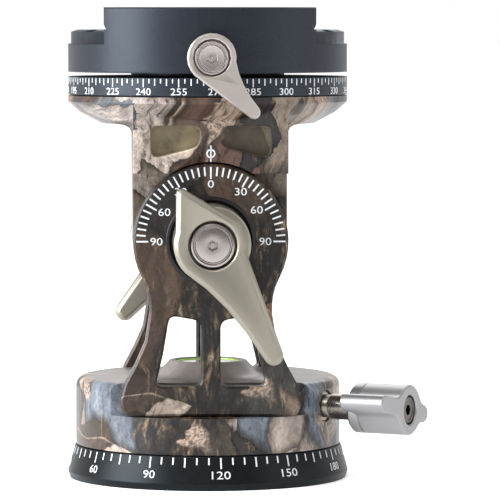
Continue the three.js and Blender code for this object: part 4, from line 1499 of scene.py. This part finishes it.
@dataclass
class Levers:
    """The two levers on the tilt axle."""

    centre: float = 65.9
    turns: dict = field(default_factory=lambda: {"tilt": 0.0, "drag": math.pi})
    screw: TurnedScrew = field(default_factory=lambda: TurnedScrew(
        profile=(
            (0.0, 30.9), (2.6, 30.9), (2.6, 46.7), (5.95, 46.7), (5.95, 49.6), (5.7, 50.2), (5.2, 50.35),
            (4.95, 49.7), (4.7, 49.7), (4.45, 50.05), (4.3, 50.1), (1.7, 49.95),
        ),
        socket_radius=1.3, socket_depth=2.4, pin_radius=0.7, pin_drop=0.5,
    ))

    def build(self) -> None:
        """Dresses both levers and turns their screws."""
        for prefix, turn in self.turns.items():
            body = f"{prefix}_lever"
            refine(body, LEVER_SILVER, body, "satin_silver", Refinement(edge=0.55, segments=3))
            stand = Matrix.Rotation(turn, 4, "Z") @ Matrix.Rotation(math.pi / 2, 4, "X")
            place = Matrix.Translation((0.0, 0.0, self.centre * MM)) @ stand
            self.screw.replace(f"{prefix}_lever_screw", place, SCREW_STEEL, body)


@dataclass
class WingedKnob:
    """The knob's solid about Z: a barrel with a long wing towards -X, a short one and a recess in its end."""

    start: float = 45.0
    end: float = 61.0
    radius: float = 6.7
    wing_length: float = 12.6
    long_wing: float = 18.0
    short_wing: float = 11.6
    wing_half: float = 2.25
    blend: float = 5.2
    rim: float = 0.32
    barrel_rim: float = 0.7
    recess_radius: float = 3.95
    recess_floor: float = 57.6
    bore_radius: float = 2.7
    stem_hole: tuple[float, float] = (3.8, 46.75)
    crowding: float = 0.42
    sides: int = 192

    def _reach(self, angle: float) -> float:
        """Measures how far the section reaches.

        Args:
            angle: the direction from +X, in radians.

        Returns:
            The reach, in millimetres.
        """
        wing = self.short_wing if math.cos(angle) > 0 else self.long_wing
        tip = wing - self.wing_half
        sine, cosine = abs(math.sin(angle)), abs(math.cos(angle))
        if sine * tip < self.wing_half * cosine:
            arm = tip * cosine + math.sqrt(max(0.0, self.wing_half**2 - (tip * sine) ** 2))
        else:
            arm = self.wing_half / sine
        overlap = max(self.blend - abs(arm - self.radius), 0.0)
        return max(arm, self.radius) + overlap * overlap / (4 * self.blend)

    def _angles(self) -> list[float]:
        """Returns the angles of the points of a row, closest at the tips of the wings."""
        steps = [TAU * i / self.sides for i in range(self.sides)]
        return [t - self.crowding * math.sin(2 * t) for t in steps]

    def _section(self, inset: float) -> list[Vector]:
        """Lays points round the winged section.

        Args:
            inset: how far they are moved inwards.

        Returns:
            The points, in millimetres.
        """
        points = [Vector((math.cos(a), math.sin(a))) * self._reach(a) for a in self._angles()]
        moved = []
        for i, point in enumerate(points):
            along = points[(i + 1) % len(points)] - points[i - 1]
            moved.append(point + Vector((-along.y, along.x)).normalized() * inset)
        return moved

    def mesh(self) -> bpy.types.Mesh:
        """Makes the knob from its stem's hole round to its recess.

        Returns:
            The knob's mesh.
        """
        back = self.end - self.wing_length
        hole, hole_end = self.stem_hole
        outlines = [
            (self._circle(hole), self.start),
            (self._circle(self.radius - self.barrel_rim), self.start),
            (self._circle(self.radius), self.start + self.barrel_rim),
            (self._circle(self.radius), back),
            (self._section(self.rim), back),
            (self._section(0.0), back + self.rim),
            (self._section(0.0), self.end - self.rim),
            (self._section(self.rim), self.end),
            (self._circle(self.recess_radius + self.rim), self.end),
            (self._circle(self.recess_radius), self.end - self.rim),
            (self._circle(self.recess_radius), self.recess_floor),
            (self._circle(self.bore_radius), self.recess_floor),
            (self._circle(self.bore_radius), hole_end),
            (self._circle(hole), hole_end),
        ]
        work = bmesh.new()
        skin(work, [[Vector((*point, height)) for point in outline] for outline, height in outlines])
        return mesh_of(work, "winged_knob", SHARP)

    def _circle(self, radius: float) -> list[Vector]:
        """Returns a circle's points at the same angles."""
        return [Vector((math.cos(a), math.sin(a))) * radius for a in self._angles()]


@dataclass
class PanLock:
    """The winged knob at the side."""

    turn: float = math.radians(-29)
    wing_turn: float = math.radians(79)
    height: float = 20.6
    screw: TurnedScrew = field(default_factory=lambda: TurnedScrew(
        profile=(
            (0.0, 52.7), (1.2, 52.7), (1.2, 57.9), (3.7, 57.9), (3.7, 60.2), (3.4, 60.5), (2.9, 60.5),
            (2.8, 60.3), (2.0, 60.3),
        ),
        socket_radius=1.35, socket_depth=1.9, pin_radius=0.3, pin_drop=1.85,
    ))

    def build(self) -> None:
        """Dresses the knob and its stem, and turns its screw."""
        along = Matrix.Rotation(self.turn, 4, "Z") @ Matrix.Rotation(math.pi / 2, 4, "Y")
        place = Matrix.Translation((0.0, 0.0, self.height * MM)) @ along
        knob = WingedKnob().mesh()
        knob.transform(place @ Matrix.Rotation(self.wing_turn, 4, "Z"))
        piece = new_piece("pan_lock_knob_finished", knob, KNOB_SILVER, "pan_knob", "satin_bare")
        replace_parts(piece, "pan_lock_knob")
        refine("pan_lock_stem", STEM_STEEL, "pan_knob", "steel")
        self.screw.replace("pan_lock_screw", place, DARK_STEEL, "pan_knob")


@dataclass
class UpperBody:
    """The tilting body with the upper scale ring."""

    ring_radius: float = 38.0
    ring_top: float = 109.3
    front_angle: float = math.radians(1.9)
    front_number: int = 270
    numeral_step: int = 15
    screw_count: int = 4

    def build(self) -> None:
        """Dresses the tilting body and prints the upper scale."""
        rims = Refinement(edge=0.45, low=(-16.2, -32.0, 87.5), high=(16.2, 32.0, 96.9))
        refine("tilt_body", CAMO_POCKETS, "upper", "camo_coat", rims)
        refine("top_scale_ring", BLACK, "upper", "black_anodised")
        dress(BRASS, "top_pan_bush")
        dress(PLAIN_STEEL, *(f"ring_screw_{i + 1}" for i in range(self.screw_count)))
        self._scale().build()
        IndexMark().build()

    def _scale(self) -> RingScale:
        """Sets out the upper scale on its ring.

        Returns:
            The scale.
        """
        zero = self.front_angle - math.radians(self.front_number)
        numbers = {n: zero + math.radians(n) for n in range(0, 360, self.numeral_step)}
        ticks = TickRow(
            count=144, first_angle=zero - math.pi / 2, radius=self.ring_radius, height=self.ring_top - 0.2,
            lean=0.0, short=1.2, middle=1.8, long=2.2, middle_every=2, long_every=6, step=math.radians(2.5),
            width=0.28,
        )
        return RingScale(
            "top_scale_print", "upper", ticks, numbers, self.ring_radius, 1.82, self.ring_top - 3.6,
        )


@dataclass
class Clamp:
    """The quick-release clamp with its sliding jaw and small lever."""

    screw_count: int = 3
    steel_nodes: tuple = (
        "keeper_washer", "keeper_screw", "guide_pin_left", "guide_pin_right", "jaw_spring_left",
        "jaw_spring_right", "clamp_lever_washer",
    )
    draw_height: float = 114.7
    screw: TurnedScrew = field(default_factory=lambda: TurnedScrew(
        profile=(
            (0.0, -31.0), (2.0, -31.0), (2.0, 41.7), (4.55, 41.7), (4.55, 42.7), (4.35, 43.1), (3.95, 43.1),
            (3.75, 42.6), (3.5, 42.6), (3.3, 42.95), (1.7, 42.85),
        ),
        socket_radius=1.35, socket_depth=2.4, pin_radius=0.5, pin_drop=1.1,
    ))

    def build(self) -> None:
        """Dresses the clamp."""
        for node, body in (("clamp_body", "clamp"), ("sliding_jaw", "jaw"), ("clamp_spindle", "clamp")):
            refine(node, BLACK, body, "black_anodised")
        refine("clamp_lever", CLAMP_SILVER, "clamp_lever", "satin_silver", Refinement(edge=0.35))
        dress(PLAIN_STEEL, *(f"spindle_screw_{i + 1}" for i in range(self.screw_count)), *self.steel_nodes)
        place = Matrix.Translation((0.0, 0.0, self.draw_height * MM)) @ Matrix.Rotation(math.pi / 2, 4, "X")
        self.screw.replace("draw_screw", place, DRAW_STEEL, "clamp_lever")


# Studio


@dataclass
class SoftLamp:
    """A rectangular lamp that looks at the head."""

    name: str
    place: tuple[float, float, float]
    size: float
    power: float
    colour: Colour = (1.0, 1.0, 1.0)

    def build(self, target: Vector) -> None:
        """Adds the lamp.

        Args:
            target: the point that it faces, in metres.
        """
        lamp = bpy.data.lights.new(self.name, "AREA")
        lamp.shape = "SQUARE"
        lamp.size = self.size
        lamp.energy = self.power
        lamp.color = self.colour
        stand = bpy.data.objects.new(self.name, lamp)
        stand.location = self.place
        stand.rotation_euler = (target - Vector(self.place)).to_track_quat("-Z", "Y").to_euler()
        bpy.context.scene.collection.objects.link(stand)


@dataclass
class Studio:
    """White floor and surroundings, soft lamps and the camera.

    Lengths are in metres. The camera looks aside and downward by so much for each metre ahead.
    """

    distance: float = 1.0827
    eye_height: float = 0.1255
    turn: float = math.radians(-1.5)
    lens: float = 285.6
    aside: float = 0.01066
    downward: float = 0.05884
    floor_size: float = 30.0
    world_strength: float = 0.6
    room_front: float = 0.24
    room_back: float = 0.85
    floor_glow: float = 0.38
    far_glow: float = 0.12
    lamps: list[SoftLamp] = field(default_factory=lambda: [
        SoftLamp("key", (-1.05, -0.35, 0.42), 0.8, 25.0, (0.94, 0.97, 1.0)),
        SoftLamp("front", (-0.35, -0.95, 1.15), 0.6, 6.0, (1.0, 0.99, 0.965)),
        SoftLamp("fill", (1.1, -0.45, 0.5), 0.9, 4.0),
        SoftLamp("back", (0.2, 1.1, 0.9), 0.9, 5.5),
    ])

    def build(self) -> None:
        """Sets up everything round the head."""
        self._world()
        self._floor()
        target = Vector((0.0, 0.0, 0.07))
        for lamp in self.lamps:
            lamp.build(target)
        self._camera()
        bpy.context.scene.view_settings.view_transform = "Standard"
        LOG.info("studio ready: %d lamps", len(self.lamps))

    @staticmethod
    def _rays(graph: Graph) -> tuple[Signal, Signal, Signal]:
        """Tells the rays apart.

        Args:
            graph: the tree that asks.

        Returns:
            Which rays come from the camera, off gloss and through glass, each as 0 or 1.
        """
        path = graph.add("ShaderNodeLightPath")
        names = ("Is Camera Ray", "Is Glossy Ray", "Is Transmission Ray")
        return tuple(Signal(graph, path.outputs[name]) for name in names)

    def _world(self) -> None:
        """Makes the surroundings white to look at, softer as a light, and dimmer in gloss from the front."""
        world = bpy.data.worlds.new("surroundings")
        world.use_nodes = True
        graph = Graph(world.node_tree)
        world.node_tree.nodes.clear()
        camera, gloss, glass = self._rays(graph)
        _, backward, upward = graph.parts(Signal(graph, graph.add("ShaderNodeTexCoord").outputs["Generated"]))
        room = backward.step(-0.35, 0.35) * (self.room_back - self.room_front) + self.room_front
        room = room + upward.step(0.3, 0.95) * (1.0 - room)
        strength = camera.at_least(glass) * (1.0 - self.world_strength) + self.world_strength
        strength = strength + gloss * (room - self.world_strength)
        shell = graph.add("ShaderNodeBackground", {"Color": (1.0, 1.0, 1.0), "Strength": strength})
        output = graph.add("ShaderNodeOutputWorld")
        world.node_tree.links.new(shell.outputs[0], output.inputs["Surface"])
        bpy.context.scene.world = world

    def _floor(self) -> None:
        """Lays a white floor that keeps the head's shadow."""
        work = bmesh.new()
        bmesh.ops.create_grid(work, x_segments=1, y_segments=1, size=self.floor_size / 2)
        mesh = mesh_of(work, "floor")
        material = bpy.data.materials.new("floor_white")
        material.use_nodes = True
        graph = Graph(material.node_tree)
        material.node_tree.nodes.clear()
        matte = graph.add("ShaderNodeBsdfDiffuse", {"Color": (0.93, 0.93, 0.93)})
        x, y, _ = graph.parts(Signal(graph, graph.add("ShaderNodeTexCoord").outputs["Object"]))
        away = graph.reach(x, y).step(0.2, 1.6)
        camera, gloss, glass = self._rays(graph)
        seen = camera.at_least(gloss).at_least(glass)
        strength = seen * (away * self.far_glow + self.floor_glow)
        glow = graph.add("ShaderNodeEmission", {"Color": (1.0, 1.0, 1.0), "Strength": strength})
        both = graph.add("ShaderNodeAddShader")
        graph.tree.links.new(matte.outputs[0], both.inputs[0])
        graph.tree.links.new(glow.outputs[0], both.inputs[1])
        output = graph.add("ShaderNodeOutputMaterial")
        graph.tree.links.new(both.outputs[0], output.inputs["Surface"])
        mesh.materials.append(material)
        floor = bpy.data.objects.new("floor", mesh)
        bpy.context.scene.collection.objects.link(floor)

    def _camera(self) -> None:
        """Adds the camera at the photograph's viewing angle."""
        camera = bpy.data.cameras.new("camera")
        camera.sensor_width = 36.0
        camera.lens = self.lens
        camera.clip_start = 0.05
        camera.clip_end = 60.0
        eye = bpy.data.objects.new("camera", camera)
        eye.location = (
            self.distance * math.sin(self.turn), -self.distance * math.cos(self.turn), self.eye_height,
        )
        ahead = Matrix.Rotation(self.turn, 3, "Z") @ Vector((self.aside, 1.0, -self.downward))
        eye.rotation_euler = ahead.to_track_quat("-Z", "Y").to_euler()
        bpy.context.scene.collection.objects.link(eye)
        bpy.context.scene.camera = eye


def main() -> None:
    """Builds the head's looks from the foot up, then the studio."""
    logging.basicConfig(level=logging.INFO, format="%(name)s: %(message)s")
    for part in (Foot(), Housing(), Levers(), PanLock(), UpperBody(), Clamp(), Studio()):
        part.build()
        LOG.info("built %s", type(part).__name__)


if __name__ == "__main__":
    main()
